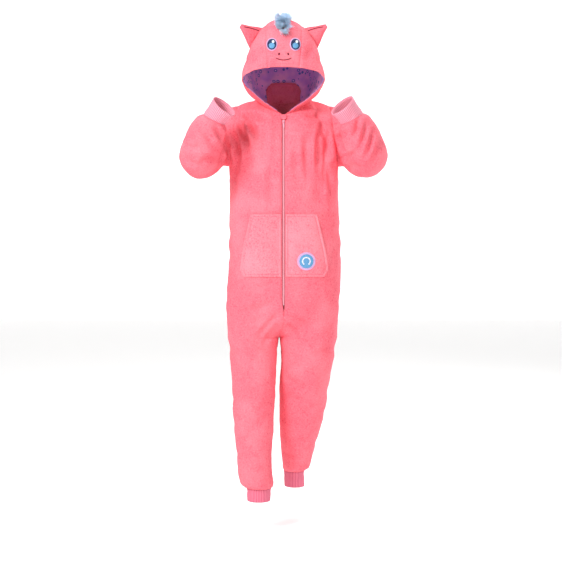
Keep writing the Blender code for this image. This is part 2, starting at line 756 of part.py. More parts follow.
# Outer edge of the pouch on either side of the zip, by height.
PocketRow = namedtuple("PocketRow", "height right left")
POCKET = [
    PocketRow(0.929, 0.141, 0.145),
    PocketRow(0.936, 0.147, 0.152),
    PocketRow(0.990, 0.151, 0.155),
    PocketRow(1.020, 0.146, 0.150),
    PocketRow(1.090, 0.131, 0.134),
    PocketRow(1.154, 0.117, 0.119),
]
POCKET_ROWS = 9
POCKET_COLUMNS = 8
POCKET_FULLNESS = 0.004
POCKET_GAP = 0.0015
POCKET_ZIP_MARGIN = 0.0015
PATCH_X = 0.081
PATCH_HEIGHT = 0.986
PATCH_RADIUS = 0.032
PATCH_RINGS = 3
PATCH_SIDES = 20
PATCH_THICKNESS = 0.0018


def pocket_grid(side, front):
    """Place half the pouch pocket, a little full in its middle."""
    rows = []
    low = POCKET[0].height
    tall = POCKET[-1].height - low
    for j in range(POCKET_ROWS + 1):
        v = j / POCKET_ROWS
        height = low + tall * v
        edge = row_at(POCKET, height)[0 if side == RIGHT else 1]
        start = ZIP_HALF_GAP + POCKET_ZIP_MARGIN
        row = []
        for i in range(POCKET_COLUMNS + 1):
            u = i / POCKET_COLUMNS
            point = front.front(side * (start + (edge - start) * u), height)
            full = POCKET_FULLNESS * math.sin(math.pi * v) * smooth(u / 0.7)
            row.append(point + np.array([0, -full, 0]))
        rows.append(row)
    return rows


def patch_grid(pocket):
    """Place the round patch's points on the pocket, ring by ring from its middle."""
    rows = []
    for j in range(PATCH_RINGS + 1):
        reach = PATCH_RADIUS * j / PATCH_RINGS
        row = []
        for i in range(PATCH_SIDES):
            turn = 2 * math.pi * i / PATCH_SIDES
            x = PATCH_X + reach * math.cos(turn)
            height = PATCH_HEIGHT + reach * math.sin(turn)
            row.append(pocket.front(x, height))
        rows.append(row)
    return rows


LINING_GAP = 0.0020
LINING_HEM = 0.14
LINING_FOOT = 0.30


def lining_grid(sections):
    """Take the hood's points, drawn back from its rim and neck seam, for the lining."""
    rows = [list(row) for row in sections[:-1]]
    rows[0] = [a * (1 - LINING_HEM) + b * LINING_HEM for a, b in zip(rows[0], rows[1])]
    for row in rows:
        row[0] = row[0] * (1 - LINING_FOOT) + row[1] * LINING_FOOT
        row[-1] = row[-1] * (1 - LINING_FOOT) + row[-2] * LINING_FOOT
    return rows


TAPE_START = 0.0008
TAPE_EDGE = 0.0135
TAPE_THICKNESS = 0.0008
TAPE_GAP = 0.0013
COIL_HALF_WIDTH = 0.0020
COIL_THICKNESS = 0.0028
COIL_PROUD = 0.0004
ZIP_ROWS = 26
ZIP_LENGTH_STEPS = [i / ZIP_ROWS for i in range(ZIP_ROWS + 1)]


def zip_strip(front, starts):
    """Place a strip along the zip, between two distances from its middle."""
    rows = []
    for t in ZIP_LENGTH_STEPS:
        height = ZIP_BOTTOM + (ZIP_TOP - ZIP_BOTTOM) * t
        rows.append([front.over_zip(x, height) for x in starts])
    return rows


# The slider's own frame starts at the middle of the coil: x across, out from the cloth, up it.
SLIDER_HEIGHT = 1.482
SLIDER_LENGTH = 0.011
Block = namedtuple("Block", "x out up wide deep tall")
SLIDER_BLOCKS = [
    Block(0.0, 0.0018, 0.0, 0.0086, 0.0018, SLIDER_LENGTH),
    Block(-0.0035, 0.0004, 0.0, 0.0014, 0.0030, SLIDER_LENGTH - 0.0004),
    Block(0.0035, 0.0004, 0.0, 0.0014, 0.0030, SLIDER_LENGTH - 0.0004),
    Block(0.0, 0.0036, 0.0040, 0.0024, 0.0036, 0.0012),
    Block(0.0, 0.0036, -0.0040, 0.0024, 0.0036, 0.0012),
    Block(0.0, 0.0057, 0.0, 0.0024, 0.0012, 0.0092),
]
PULL_PIVOT_OUT = 0.00385
PULL_PIVOT_UP = -0.0018
PullRow = namedtuple("PullRow", "below half_width")
PULL = [
    PullRow(-0.0006, 0.0026),
    PullRow(0.0006, 0.0030),
    PullRow(0.0044, 0.0030),
    PullRow(0.0075, 0.0024),
    PullRow(0.0170, 0.0034),
    PullRow(0.0215, 0.0031),
    PullRow(0.0235, 0.0018),
]
PULL_EYE_HALF = 0.0018
PULL_THICKNESS = 0.0011


def zip_frame(front):
    """Give the slider's place and its directions across, out and up."""
    place = front.over_zip(0.0, SLIDER_HEIGHT)
    above = front.over_zip(0.0, SLIDER_HEIGHT + 0.015)
    below = front.over_zip(0.0, SLIDER_HEIGHT - 0.025)
    up = unit(above - below)
    across = np.array([1.0, 0.0, 0.0])
    return place, across, np.cross(across, up), up


def add_block(name, block, frame, finish):
    """Add a rectangular block in the slider's frame."""
    place, across, out, up = frame
    corners = []
    for x in (-0.5, 0.5):
        for o in (-0.5, 0.5):
            for u in (-0.5, 0.5):
                move = across * (block.x + x * block.wide)
                move = move + out * (block.out + o * block.deep)
                corners.append(place + move + up * (block.up + u * block.tall))
    faces = [[0, 1, 3, 2], [4, 6, 7, 5], [0, 4, 5, 1], [2, 3, 7, 6], [0, 2, 6, 4], [1, 5, 7, 3]]
    if np.dot(np.cross(across, out), up) < 0:
        faces = [face[::-1] for face in faces]
    return add_object(name, corners, faces, finish)


def zip_slider(frame, finish):
    """Join the slider's plate, its two flanges and the bail that holds the pull."""
    slider = add_block("zip_slider", SLIDER_BLOCKS[0], frame, finish)
    for n, block in enumerate(SLIDER_BLOCKS[1:]):
        other = add_block(f"slider_block_{n}", block, frame, finish)
        other.hide_render = True
        other.display_type = "WIRE"
        join = slider.modifiers.new(f"join_{n}", "BOOLEAN")
        join.operation = "UNION"
        join.object = other


def pull_tab(frame, finish):
    """Build the pull: a flat tab with an eye for the bail, hung from a bar inside it."""
    place, across, out, up = frame
    pivot = place + out * PULL_PIVOT_OUT + up * PULL_PIVOT_UP
    rows = []
    for row in PULL:
        spread = (-row.half_width, -PULL_EYE_HALF * row.half_width / PULL[1].half_width,
                  PULL_EYE_HALF * row.half_width / PULL[1].half_width, row.half_width)
        rows.append([pivot + across * x - up * row.below for x in spread])
    tab = Cloth()
    tab.panel("pull_tab", rows, facing=out)
    eye = {tab.index(p) for p in (rows[1][1], rows[1][2], rows[2][2], rows[2][1])}
    tab.panels["pull_tab"] = [face for face in tab.panels["pull_tab"] if not eye.issuperset(face)]
    tab.wall("pull_tab", PULL_THICKNESS, finish, lift=PULL_THICKNESS / 2)


GUARD_HALF_WIDTH = 0.011
GUARD_BOTTOM = 1.489
GUARD_TOP = 1.508
GUARD_THICKNESS = 0.003
GUARD_GAP = 0.0012
GUARD_STEPS = 5


def zip_guard(front):
    """Place the padded tab that covers the top of the zip, with rounded corners."""
    rows = []
    middle = (GUARD_BOTTOM + GUARD_TOP) / 2
    half = (GUARD_TOP - GUARD_BOTTOM) / 2
    for j in range(GUARD_STEPS + 1):
        v = 2 * j / GUARD_STEPS - 1
        height = middle + half * v
        reach = GUARD_HALF_WIDTH * (1 - 0.28 * abs(v) ** 3)
        row = []
        for i in range(GUARD_STEPS + 1):
            x = reach * (2 * i / GUARD_STEPS - 1)
            low = min(height, ZIP_TOP - 0.003)
            slope = front.over_zip(x, low) - front.over_zip(x, low - 0.02)
            point = front.over_zip(x, low) + slope * (height - low) / 0.02
            row.append(point)
        rows.append(row)
    return rows


def lay(name, grid, thickness, finish, lift=LAY_GAP, closed=False, facing=(0, -1, 0)):
    """Lay one piece on the surface that its points were taken from."""
    piece = Cloth()
    piece.panel(name, grid, closed, facing)
    return piece.wall(name, thickness, finish, lift + thickness)


def outer_face(cloth, names):
    """Make a surface of some panels' outer faces."""
    return Surface(cloth.points, [face for name in names for face in cloth.panels[name]])


def main():
    """Build every piece of the costume."""
    for thing in list(bpy.data.objects):
        bpy.data.objects.remove(thing)
    fleece = material("pink_fleece", (1.0, 0.23, 0.31), 0.9)
    rib = material("pink_rib", (1.0, 0.45, 0.52), 0.85)
    print_jersey = material("printed_jersey", (0.55, 0.28, 0.62), 0.8)
    fur = material("blue_fur", (0.35, 0.60, 0.90), 0.85)
    patch = material("patch_thread", (0.20, 0.50, 0.80), 0.6)
    tape = material("zip_tape", (1.0, 0.50, 0.58), 0.8)
    plastic = material("zip_coil", (1.0, 0.55, 0.64), 0.5)
    metal = material("zip_metal", (0.55, 0.30, 0.36), 0.4, 0.6)

    body = Cloth()
    for side in (RIGHT, LEFT):
        fronts = body_panel(side, FRONT)
        backs = body_panel(side, BACK)
        body.panel(f"front_{SIDE_NAMES[side]}", fronts)
        body.panel(f"back_{SIDE_NAMES[side]}", backs)
        ring, frame = armhole_ring(side)
        sleeve, frame = sweep(side, SLEEVES[side], ring, frame)
        body.panel(f"sleeve_{SIDE_NAMES[side]}", [ring] + sleeve, closed=True)
        cuff = sweep(side, WRIST, sleeve[-1], frame)[0]
        body.panel(f"cuff_{SIDE_NAMES[side]}", [sleeve[-1]] + cuff, closed=True)
        hem = fronts[0] + backs[0][-2:0:-1]
        body.panel(f"ankle_cuff_{SIDE_NAMES[side]}", ankle_cuff(side, hem), closed=True)
    sections = hood_grid()
    seam = HOOD_SIDE_COLUMNS
    body.panel("hood_right", [row[:seam + 1] for row in sections])
    body.panel("hood_centre", [row[seam:-seam] for row in sections])
    body.panel("hood_left", [row[-seam - 1:] for row in sections])
    for name in list(body.panels):
        if "cuff" in name:
            body.wall(name, RIB, rib)
        else:
            body.wall(name, FLEECE, fleece)

    lay("hood_lining", lining_grid(sections), JERSEY, print_jersey,
        lift=-FLEECE - LINING_GAP - JERSEY, facing=None)
    hood = outer_face(body, ["hood_right", "hood_centre", "hood_left"])
    for side in (RIGHT, LEFT):
        ear = Cloth()
        for face in (FRONT, BACK):
            ear.panel(f"ear_{FACE_NAMES[face]}_{SIDE_NAMES[side]}", ear_grid(side, face, hood))
        for name in ear.panels:
            ear.wall(name, EAR_FLEECE, fleece, settle=ear_settler(hood))
    forelock(hood, fur)

    front = outer_face(body, ["front_right", "front_left"])
    for side in (RIGHT, LEFT):
        grid = pocket_grid(side, front)
        lay(f"pocket_{SIDE_NAMES[side]}", grid, FLEECE, fleece, lift=POCKET_GAP)
        strip = zip_strip(front, (side * TAPE_START, side * TAPE_EDGE))
        lay(f"zip_tape_{SIDE_NAMES[side]}", strip, TAPE_THICKNESS, tape,
            lift=-FLEECE - TAPE_GAP - TAPE_THICKNESS)
    pocket = Cloth()
    pocket.panel("pouch", grid, facing=(0, -1, 0))
    raised = [p + n * (POCKET_GAP + FLEECE) for p, n in zip(pocket.points, pocket.normals())]
    lay("patch", patch_grid(Surface(raised, pocket.panels["pouch"])), PATCH_THICKNESS, patch,
        closed=True)
    strip = zip_strip(front, (-COIL_HALF_WIDTH, COIL_HALF_WIDTH))
    lay("zip_coil", strip, COIL_THICKNESS, plastic, lift=COIL_PROUD - COIL_THICKNESS)
    lay("zip_guard", zip_guard(front), GUARD_THICKNESS, fleece, lift=GUARD_GAP)
    frame = zip_frame(front)
    zip_slider(frame, metal)
    pull_tab(frame, metal)


main()
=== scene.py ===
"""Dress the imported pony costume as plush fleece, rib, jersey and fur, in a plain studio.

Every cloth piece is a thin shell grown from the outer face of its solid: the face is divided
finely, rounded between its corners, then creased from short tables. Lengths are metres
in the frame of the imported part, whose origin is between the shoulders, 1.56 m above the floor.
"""
from __future__ import annotations

import json
import logging
import math
import random
from collections.abc import Callable
from dataclasses import dataclass, field
from enum import Enum

import bpy
import numpy as np
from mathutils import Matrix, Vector, noise
from mathutils.bvhtree import BVHTree
from mathutils.kdtree import KDTree

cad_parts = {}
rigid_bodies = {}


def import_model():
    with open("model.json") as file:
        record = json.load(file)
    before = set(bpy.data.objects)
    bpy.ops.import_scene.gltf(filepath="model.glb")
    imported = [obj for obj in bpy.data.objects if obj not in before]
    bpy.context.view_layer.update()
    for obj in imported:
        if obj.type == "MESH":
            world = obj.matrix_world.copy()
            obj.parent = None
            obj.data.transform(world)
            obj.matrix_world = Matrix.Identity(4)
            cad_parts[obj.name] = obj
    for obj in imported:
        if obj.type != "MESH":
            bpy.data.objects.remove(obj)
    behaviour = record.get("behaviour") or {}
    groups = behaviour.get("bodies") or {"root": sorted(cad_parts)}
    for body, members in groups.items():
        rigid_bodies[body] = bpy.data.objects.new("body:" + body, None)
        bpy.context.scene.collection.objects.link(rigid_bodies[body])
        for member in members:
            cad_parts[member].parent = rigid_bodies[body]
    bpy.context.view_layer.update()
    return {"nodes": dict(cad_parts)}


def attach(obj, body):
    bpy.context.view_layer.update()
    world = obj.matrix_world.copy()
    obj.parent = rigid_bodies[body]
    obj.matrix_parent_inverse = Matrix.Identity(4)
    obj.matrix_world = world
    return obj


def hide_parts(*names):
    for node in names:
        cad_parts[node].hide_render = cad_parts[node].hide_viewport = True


LOG = logging.getLogger("costume")
SHOULDERS = 1.56
BODY = "garment"
SEAM_TOUCH = 0.0009
MERGE = 0.00004
STITCH_PITCH = 0.0050
STITCH_LENGTH = 0.0036
THREAD = 0.00045
SWELL, RIPPLE = 0.0028, 0.0011
FREE_EDGE = 0.004
Array = np.ndarray
Piece = bpy.types.Object
Material = bpy.types.Material
Tree = bpy.types.NodeTree
Node = bpy.types.Node
Socket = bpy.types.NodeSocket
Triple = tuple[float, float, float]


class Look(Enum):
    """A side of the garment, as the way that its cloth faces."""

    FRONT = (0.0, -1.0, 0.0)
    BACK = (0.0, 1.0, 0.0)
    RIGHT = (-1.0, 0.0, 0.0)
    LEFT = (1.0, 0.0, 0.0)


class Knit(Enum):
    """How a piece's cloth is made."""

    FLEECE = "fleece"
    RIB = "rib"
    JERSEY = "jersey"


@dataclass(frozen=True)
class Crease:
    """A soft trough with a low ridge on each side, along a curve seen from one side.

    Places are across and height above the floor in metres; across is x on the front and back
    and y on the sides. Below the hips a fold is shallower than its row says.
    """

    look: Look
    start: tuple[float, float]
    middle: tuple[float, float]
    end: tuple[float, float]
    width: float
    depth: float

    REACH = 3.2
    RIDGE, RIDGE_PLACE, RIDGE_WIDTH = 0.42, 1.7, 0.75
    LOW_START, LOW_SPAN, LOW_LEAST = 0.10, 0.95, 0.42

    @classmethod
    def read(cls, look: Look, *numbers: int) -> Crease:
        """Make a crease from a row of the table."""
        places = [number / 1000 for number in numbers[:6]]
        width, depth = (number / 10000 for number in numbers[6:])
        return cls(look, tuple(places[:2]), tuple(places[2:4]), tuple(places[4:]), width, depth)

    def line(self, steps: int = 9) -> Array:
        """Give points along the curve."""
        t = np.linspace(0.0, 1.0, steps)[:, None]
        a, b, c = (np.array(p) for p in (self.start, self.middle, self.end))
        return a * (1 - t) ** 2 + 2 * b * t * (1 - t) + c * t**2

    def shift(self, points: Array, normals: Array) -> Array:
        """Work out how far each point moves out along its normal.

        Args:
            points: Places of the cloth, one a row.
            normals: The way that the cloth faces at each.

        Returns:
            One distance for each point.
        """
        axes = (1, 2) if self.look in (Look.RIGHT, Look.LEFT) else (0, 2)
        seen = points[:, axes] + np.array([0.0, SHOULDERS])
        facing = np.clip((normals @ np.array(self.look.value) - 0.05) / 0.5, 0.0, 1.0)
        line = self.line()
        reach = self.REACH * self.width
        near = (facing > 0) & np.all(seen > line.min(0) - reach, axis=1)
        near &= np.all(seen < line.max(0) + reach, axis=1)
        out = np.zeros(len(points))
        if not near.any():
            return out
        spots = seen[near]
        best = np.full(len(spots), 1e9)
        place = np.zeros(len(spots))
        for n, (a, b) in enumerate(zip(line, line[1:])):
            along = b - a
            t = np.clip(((spots - a) @ along) / (along @ along), 0.0, 1.0)
            far = np.linalg.norm(spots - a - t[:, None] * along, axis=1)
            closer = far < best
            best[closer] = far[closer]
            place[closer] = ((n + t) / (len(line) - 1))[closer]
        q = best / self.width
        ends = np.sin(np.pi * np.clip(place, 0.03, 0.97)) ** 0.6
        ridge = np.exp(-(((q - self.RIDGE_PLACE) / self.RIDGE_WIDTH) ** 2))
        profile = -np.exp(-(q**2)) + self.RIDGE * ridge
        low = np.clip((spots[:, 1] - self.LOW_START) / self.LOW_SPAN, self.LOW_LEAST, 1.0)
        out[near] = self.depth * low * profile * ends * facing[near] ** 0.7
        return out


F, B, R, L = Look.FRONT, Look.BACK, Look.RIGHT, Look.LEFT

# Each row has the side, the start, middle and end as across and height in millimetres, and the
# width and depth in tenths of a millimetre.
CREASE_ROWS = (
    (F, -150, 1512, -110, 1496, -66, 1500, 120, 110),
    (F, -128, 1500, -112, 1470, -97, 1435, 110, 100),
    (F, -160, 1480, -140, 1440, -128, 1385, 110, 110),
    (F, 75, 1515, 112, 1500, 150, 1505, 120, 60),
    (F, -176, 1445, -160, 1390, -166, 1310, 110, 110),
    (F, -185, 1380, -172, 1320, -178, 1220, 100, 70),
    (F, -60, 1460, -72, 1410, -66, 1360, 120, 40), (F, 135, 1460, 120, 1400, 130, 1300, 110, 70),
    (F, 160, 1440, 148, 1360, 156, 1260, 120, 80), (F, 175, 1360, 168, 1280, 172, 1190, 100, 60),
    (F, 85, 1440, 78, 1380, 88, 1310, 130, 40), (F, 45, 1400, 40, 1330, 52, 1250, 120, 30),
    (F, -40, 1340, -52, 1270, -46, 1180, 140, 30),
    (F, -185, 1170, -150, 1150, -100, 1165, 130, 28),
    (F, -190, 1100, -165, 1070, -155, 1020, 120, 28),
    (F, 190, 1160, 160, 1135, 130, 1150, 120, 28), (F, 195, 1060, 178, 1030, 172, 980, 110, 28),
    (F, -185, 920, -150, 900, -95, 905, 130, 28), (F, 190, 930, 160, 905, 110, 912, 120, 28),
    (F, -35, 905, -70, 885, -120, 880, 140, 40), (F, 30, 895, 80, 870, 125, 876, 140, 40),
    (F, -12, 800, -50, 765, -85, 715, 110, 70), (F, -10, 765, -45, 735, -75, 675, 100, 70),
    (F, -30, 840, -85, 810, -150, 800, 140, 60), (F, 12, 795, 60, 765, 105, 735, 110, 70),
    (F, 6, 760, 40, 725, 70, 670, 100, 60), (F, 35, 835, 95, 805, 160, 810, 140, 50),
    (F, -175, 705, -140, 655, -85, 635, 120, 70), (F, -190, 640, -160, 595, -115, 560, 130, 70),
    (F, -165, 560, -120, 525, -60, 530, 120, 50), (F, -45, 480, -75, 450, -130, 445, 110, 70),
    (F, -42, 435, -80, 412, -120, 380, 110, 70), (F, -165, 395, -130, 370, -90, 375, 120, 50),
    (F, -55, 340, -95, 320, -140, 330, 110, 50), (F, -155, 270, -115, 250, -70, 262, 100, 60),
    (F, -150, 225, -110, 210, -65, 215, 90, 60), (F, 185, 690, 150, 655, 105, 640, 120, 60),
    (F, 175, 610, 130, 575, 70, 585, 130, 50), (F, 5, 560, 45, 525, 100, 515, 120, 60),
    (F, 0, 490, 40, 465, 80, 475, 110, 60), (F, 140, 460, 105, 430, 65, 425, 120, 60),
    (F, 0, 400, 40, 375, 95, 380, 110, 60), (F, 110, 330, 75, 305, 30, 315, 100, 60),
    (F, 0, 270, 40, 250, 85, 262, 90, 60), (B, -120, 1500, -95, 1420, -105, 1300, 140, 95),
    (B, -165, 1430, -140, 1360, -150, 1250, 130, 108),
    (B, 125, 1495, 105, 1430, 112, 1330, 140, 95), (B, 165, 1420, 146, 1340, 158, 1230, 120, 108),
    (B, -40, 1420, -50, 1360, -38, 1270, 150, 54), (B, 45, 1380, 52, 1310, 40, 1220, 150, 54),
    (B, -180, 1130, -110, 1095, -30, 1110, 140, 95), (B, 180, 1110, 120, 1075, 20, 1085, 140, 95),
    (B, -150, 1060, -70, 1030, 20, 1045, 130, 81), (B, 170, 1030, 110, 1005, 45, 1015, 120, 68),
    (B, -170, 985, -120, 960, -60, 972, 130, 68), (B, -15, 800, -60, 760, -120, 745, 120, 95),
    (B, 15, 790, 70, 755, 125, 750, 120, 95), (B, -20, 745, -50, 705, -80, 650, 110, 95),
    (B, 12, 740, 45, 700, 80, 655, 110, 81), (B, -170, 640, -120, 610, -70, 620, 130, 68),
    (B, 165, 620, 120, 590, 60, 600, 130, 68), (B, -50, 500, -95, 475, -150, 485, 120, 95),
    (B, -160, 445, -110, 425, -55, 440, 110, 81), (B, 10, 500, 55, 470, 110, 480, 120, 95),
    (B, 130, 430, 90, 410, 30, 420, 110, 81), (B, -60, 350, -100, 325, -145, 335, 110, 81),
    (B, 10, 350, 50, 325, 95, 335, 110, 81), (B, -150, 250, -110, 230, -70, 242, 100, 81),
    (B, 0, 265, 40, 250, 85, 262, 100, 81), (R, -60, 1090, 0, 1070, 50, 1085, 190, 19),
    (R, 60, 1020, 10, 995, -40, 1005, 190, 19), (R, -50, 860, 0, 835, 60, 850, 200, 19),
    (R, 50, 700, 0, 660, -60, 640, 190, 37), (R, 10, 500, -40, 470, -90, 475, 170, 37),
    (R, -20, 410, -70, 385, -115, 395, 160, 37), (R, -55, 290, -95, 270, -135, 280, 140, 37),
    (L, -50, 1100, 0, 1080, 60, 1090, 190, 19), (L, 55, 1030, 5, 1005, -45, 1015, 190, 19),
    (L, -60, 850, 0, 830, 50, 845, 200, 19), (L, -60, 690, 0, 655, 50, 645, 190, 37),
    (L, -30, 520, 20, 490, 70, 500, 170, 37), (L, 0, 430, 50, 405, 95, 415, 160, 37),
    (L, 30, 310, 70, 290, 115, 300, 140, 37), (F, -290, 1330, -262, 1355, -215, 1350, 100, 70),
    (F, -345, 1395, -315, 1375, -285, 1385, 90, 60),
    (F, -345, 1350, -320, 1325, -290, 1320, 100, 60),
    (F, -300, 1455, -270, 1435, -245, 1405, 90, 70),
    (F, -330, 1435, -300, 1415, -270, 1370, 90, 60),
    (F, -235, 1450, -215, 1425, -195, 1375, 100, 70),
    (F, -205, 1395, -190, 1355, -200, 1320, 90, 60), (F, 262, 1485, 250, 1440, 232, 1415, 90, 90),
    (F, 290, 1470, 275, 1420, 262, 1375, 90, 70), (F, 310, 1440, 300, 1400, 285, 1350, 90, 70),
    (F, 335, 1405, 320, 1365, 300, 1325, 100, 60), (F, 225, 1440, 205, 1425, 185, 1430, 90, 70),
    (F, 255, 1370, 225, 1350, 200, 1355, 100, 60), (F, 270, 1310, 245, 1325, 215, 1318, 100, 50),
    (B, -210, 1430, -240, 1405, -285, 1410, 120, 95),
    (B, -205, 1370, -245, 1355, -290, 1370, 110, 81),
    (B, -300, 1440, -325, 1400, -330, 1350, 110, 68),
    (B, 210, 1430, 240, 1410, 285, 1415, 120, 95), (B, 205, 1365, 245, 1350, 290, 1362, 110, 81),
    (B, 300, 1440, 325, 1405, 332, 1355, 110, 68), (R, -30, 1430, -60, 1390, -60, 1330, 160, 37),
    (R, -110, 1420, -130, 1370, -120, 1310, 170, 37),
    (R, -215, 1440, -185, 1410, -175, 1370, 140, 37),
    (L, -30, 1425, -60, 1385, -65, 1330, 160, 37),
    (L, -105, 1420, -125, 1370, -115, 1310, 170, 37),
    (L, -215, 1445, -185, 1415, -172, 1375, 140, 37),
    (F, -125, 1655, -105, 1620, -70, 1590, 100, 40), (F, 130, 1640, 105, 1605, 60, 1572, 100, 50),
    (F, -110, 1765, -85, 1735, -80, 1695, 120, 40), (F, 108, 1760, 90, 1730, 86, 1690, 120, 40),
    (R, -60, 1640, 0, 1625, 60, 1640, 170, 37), (R, -80, 1700, -20, 1665, 50, 1670, 190, 31),
    (R, 80, 1600, 40, 1595, -20, 1600, 140, 31), (L, -60, 1645, 0, 1628, 60, 1638, 170, 37),
    (L, -80, 1705, -20, 1672, 50, 1676, 190, 31), (L, 80, 1598, 40, 1592, -20, 1598, 140, 31),
    (B, -70, 1640, 0, 1620, 70, 1636, 110, 40), (B, -80, 1690, -20, 1672, 50, 1686, 120, 34),
    (B, -50, 1600, 10, 1588, 55, 1600, 90, 34),
)
CREASES = [Crease.read(*row) for row in CREASE_ROWS]


def edit(piece: Piece, *steps: Callable[[], object]) -> None:
    """Run steps on all of one piece's faces in edit mode.

    Args:
        piece: The piece.
        steps: What to do to its faces, in order.
    """
    bpy.ops.object.select_all(action="DESELECT")
    bpy.context.view_layer.objects.active = piece
    piece.select_set(True)
    bpy.ops.object.mode_set(mode="EDIT")
    bpy.ops.mesh.select_all(action="SELECT")
    for step in steps:
        step()
    bpy.ops.object.mode_set(mode="OBJECT")
    piece.select_set(False)


def unit(rows: Array) -> Array:
    """Scale each row to length one."""
    return rows / np.maximum(np.linalg.norm(rows, axis=-1, keepdims=True), 1e-12)


def softness(points: Array) -> Array:
    """Give the slow, uneven swell of loose cloth at each point."""
    out = np.empty(len(points))
    for n, (x, y, z) in enumerate(points):
        broad = noise.noise(Vector((x * 11, y * 11, z * 7)))
        fine = noise.noise(Vector((x * 30 + 5, y * 30, z * 19)))
        out[n] = SWELL * broad + RIPPLE * fine
    return out


class Face:
    """The outer face of one CAD wall: its points, triangles and normals."""

    PLAIN_RIM = (0.993, 1.007)
    TURNED_RIM = (0.70, 1.04)
    ROUNDNESS = 0.75

    def __init__(self, node: Piece, wall: float, toward: Look | None = None) -> None:
        """Take one of the wall's two skins from a merged copy of the node.

        Args:
            node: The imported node.
            wall: The wall's thickness, which is the length of the edges across its rim.
            toward: The way that the skin faces on a nearly flat piece, or None for the larger
                skin, which is the outer one on a tube or bowl.
        """
        copy = node.copy()
        copy.data = node.data.copy()
        bpy.context.scene.collection.objects.link(copy)
        copy.hide_viewport = False
        edit(copy, lambda: bpy.ops.mesh.remove_doubles(threshold=MERGE),
             bpy.ops.mesh.quads_convert_to_tris)
        mesh = copy.data
        co = np.array([v.co for v in mesh.vertices])
        tris = np.array([p.vertices[:] for p in mesh.polygons])
        across = np.cross(co[tris[:, 1]] - co[tris[:, 0]], co[tris[:, 2]] - co[tris[:, 0]])
        sides = np.linalg.norm(co[tris] - co[np.roll(tris, -1, axis=1)], axis=2)
        low, high = self.TURNED_RIM if toward else self.PLAIN_RIM
        group = self._grow(tris, np.all((sides < wall * low) | (sides > wall * high), axis=1))
        areas = np.linalg.norm(across, axis=1) / 2
        sizes = sorted(set(group) - {-1}, key=lambda g: -areas[group == g].sum())
        if toward is None:
            keep = sizes[0]
        else:
            way = np.array(toward.value)
            keep = max(sizes[:2], key=lambda g: across[group == g].sum(0) @ way)
        faces = tris[group == keep]
        used, faces = np.unique(faces, return_inverse=True)
        self.points = co[used]
        self.faces = faces.reshape(-1, 3)
        self.normals = self.own_normals(self.points, self.faces)
        bpy.data.objects.remove(copy)

    @staticmethod
    def _grow(tris: Array, skin: Array) -> Array:
        """Number the skins' triangles by the skin that they belong to, and the rim's -1."""
        edges: dict[tuple[int, int], list[int]] = {}
        for n in np.flatnonzero(skin):
            tri = tris[n]
            for a, b in zip(tri, np.roll(tri, -1)):
                edges.setdefault((min(a, b), max(a, b)), []).append(n)
        links: list[list[int]] = [[] for _ in tris]
        for pair in edges.values():
            if len(pair) == 2:
                links[pair[0]].append(pair[1])
                links[pair[1]].append(pair[0])
        group = np.full(len(tris), -1)
        for n in np.flatnonzero(skin):
            if group[n] >= 0:
                continue
            stack = [n]
            group[n] = n
            while stack:
                for m in links[stack.pop()]:
                    if group[m] < 0:
                        group[m] = n
                        stack.append(m)
        return group

    @staticmethod
    def own_normals(points: Array, faces: Array) -> Array:
        """Average the triangles' normals at each point."""
        across = np.cross(points[faces[:, 1]] - points[faces[:, 0]],
                          points[faces[:, 2]] - points[faces[:, 0]])
        sums = np.zeros_like(points)
        for k in range(3):
            np.add.at(sums, faces[:, k], across)
        return unit(sums)

    @staticmethod
    def border(faces: Array) -> list[tuple[int, int]]:
        """List the edges that only one triangle has, in its own direction."""
        edges = set()
        for tri in faces.tolist():
            for a, b in zip(tri, tri[1:] + tri[:1]):
                if (b, a) in edges:
                    edges.remove((b, a))
                else:
                    edges.add((a, b))
        return sorted(edges)

    def refined(self, cuts: int) -> tuple[Array, Array, Array]:
        """Divide each triangle and bulge it between its corners' tangent planes.

        Args:
            cuts: How many pieces each edge is divided into.

        Returns:
            Points, triangles and normals.
        """
        keys: dict[tuple, int] = {}
        rows: list[Array] = []
        facing: list[Array] = []
        faces: list[list[int]] = []
        grid = [(i, j) for i in range(cuts + 1) for j in range(cuts + 1 - i)]
        for number, tri in enumerate(self.faces.tolist()):
            corner = self.points[tri]
            normal = self.normals[tri]
            ids = {}
            for i, j in grid:
                k = cuts - i - j
                parts = tuple(sorted((tri[n], w) for n, w in enumerate((k, i, j)) if w))
                key = parts if len(parts) < 3 else (number, i, j)
                if key not in keys:
                    weight = np.array([k, i, j]) / cuts
                    flat = weight @ corner
                    reach = ((flat - corner) * normal).sum(1)
                    round_place = flat - weight @ (normal * reach[:, None])
                    keys[key] = len(rows)
                    rows.append(flat * (1 - self.ROUNDNESS) + round_place * self.ROUNDNESS)
                    facing.append(weight @ normal)
                ids[i, j] = keys[key]
            for i in range(cuts):
                for j in range(cuts - i):
                    faces.append([ids[i, j], ids[i + 1, j], ids[i, j + 1]])
                    if i + j < cuts - 1:
                        faces.append([ids[i + 1, j], ids[i + 1, j + 1], ids[i, j + 1]])
        return np.array(rows), np.array(faces), unit(np.array(facing))


def point_tree(points: Array | list[Array]) -> KDTree:
    """Index points, to find the nearest ones."""
    tree = KDTree(len(points))
    for n, point in enumerate(points):
        tree.insert(point, n)
    tree.balance()
    return tree


def edge_distance(points: Array, faces: Array) -> Array:
    """Measure how far each of a piece's points is from its border."""
    rim = sorted({i for edge in Face.border(faces) for i in edge})
    tree = point_tree(points[rim])
    return np.array([tree.find(point)[2] for point in points])


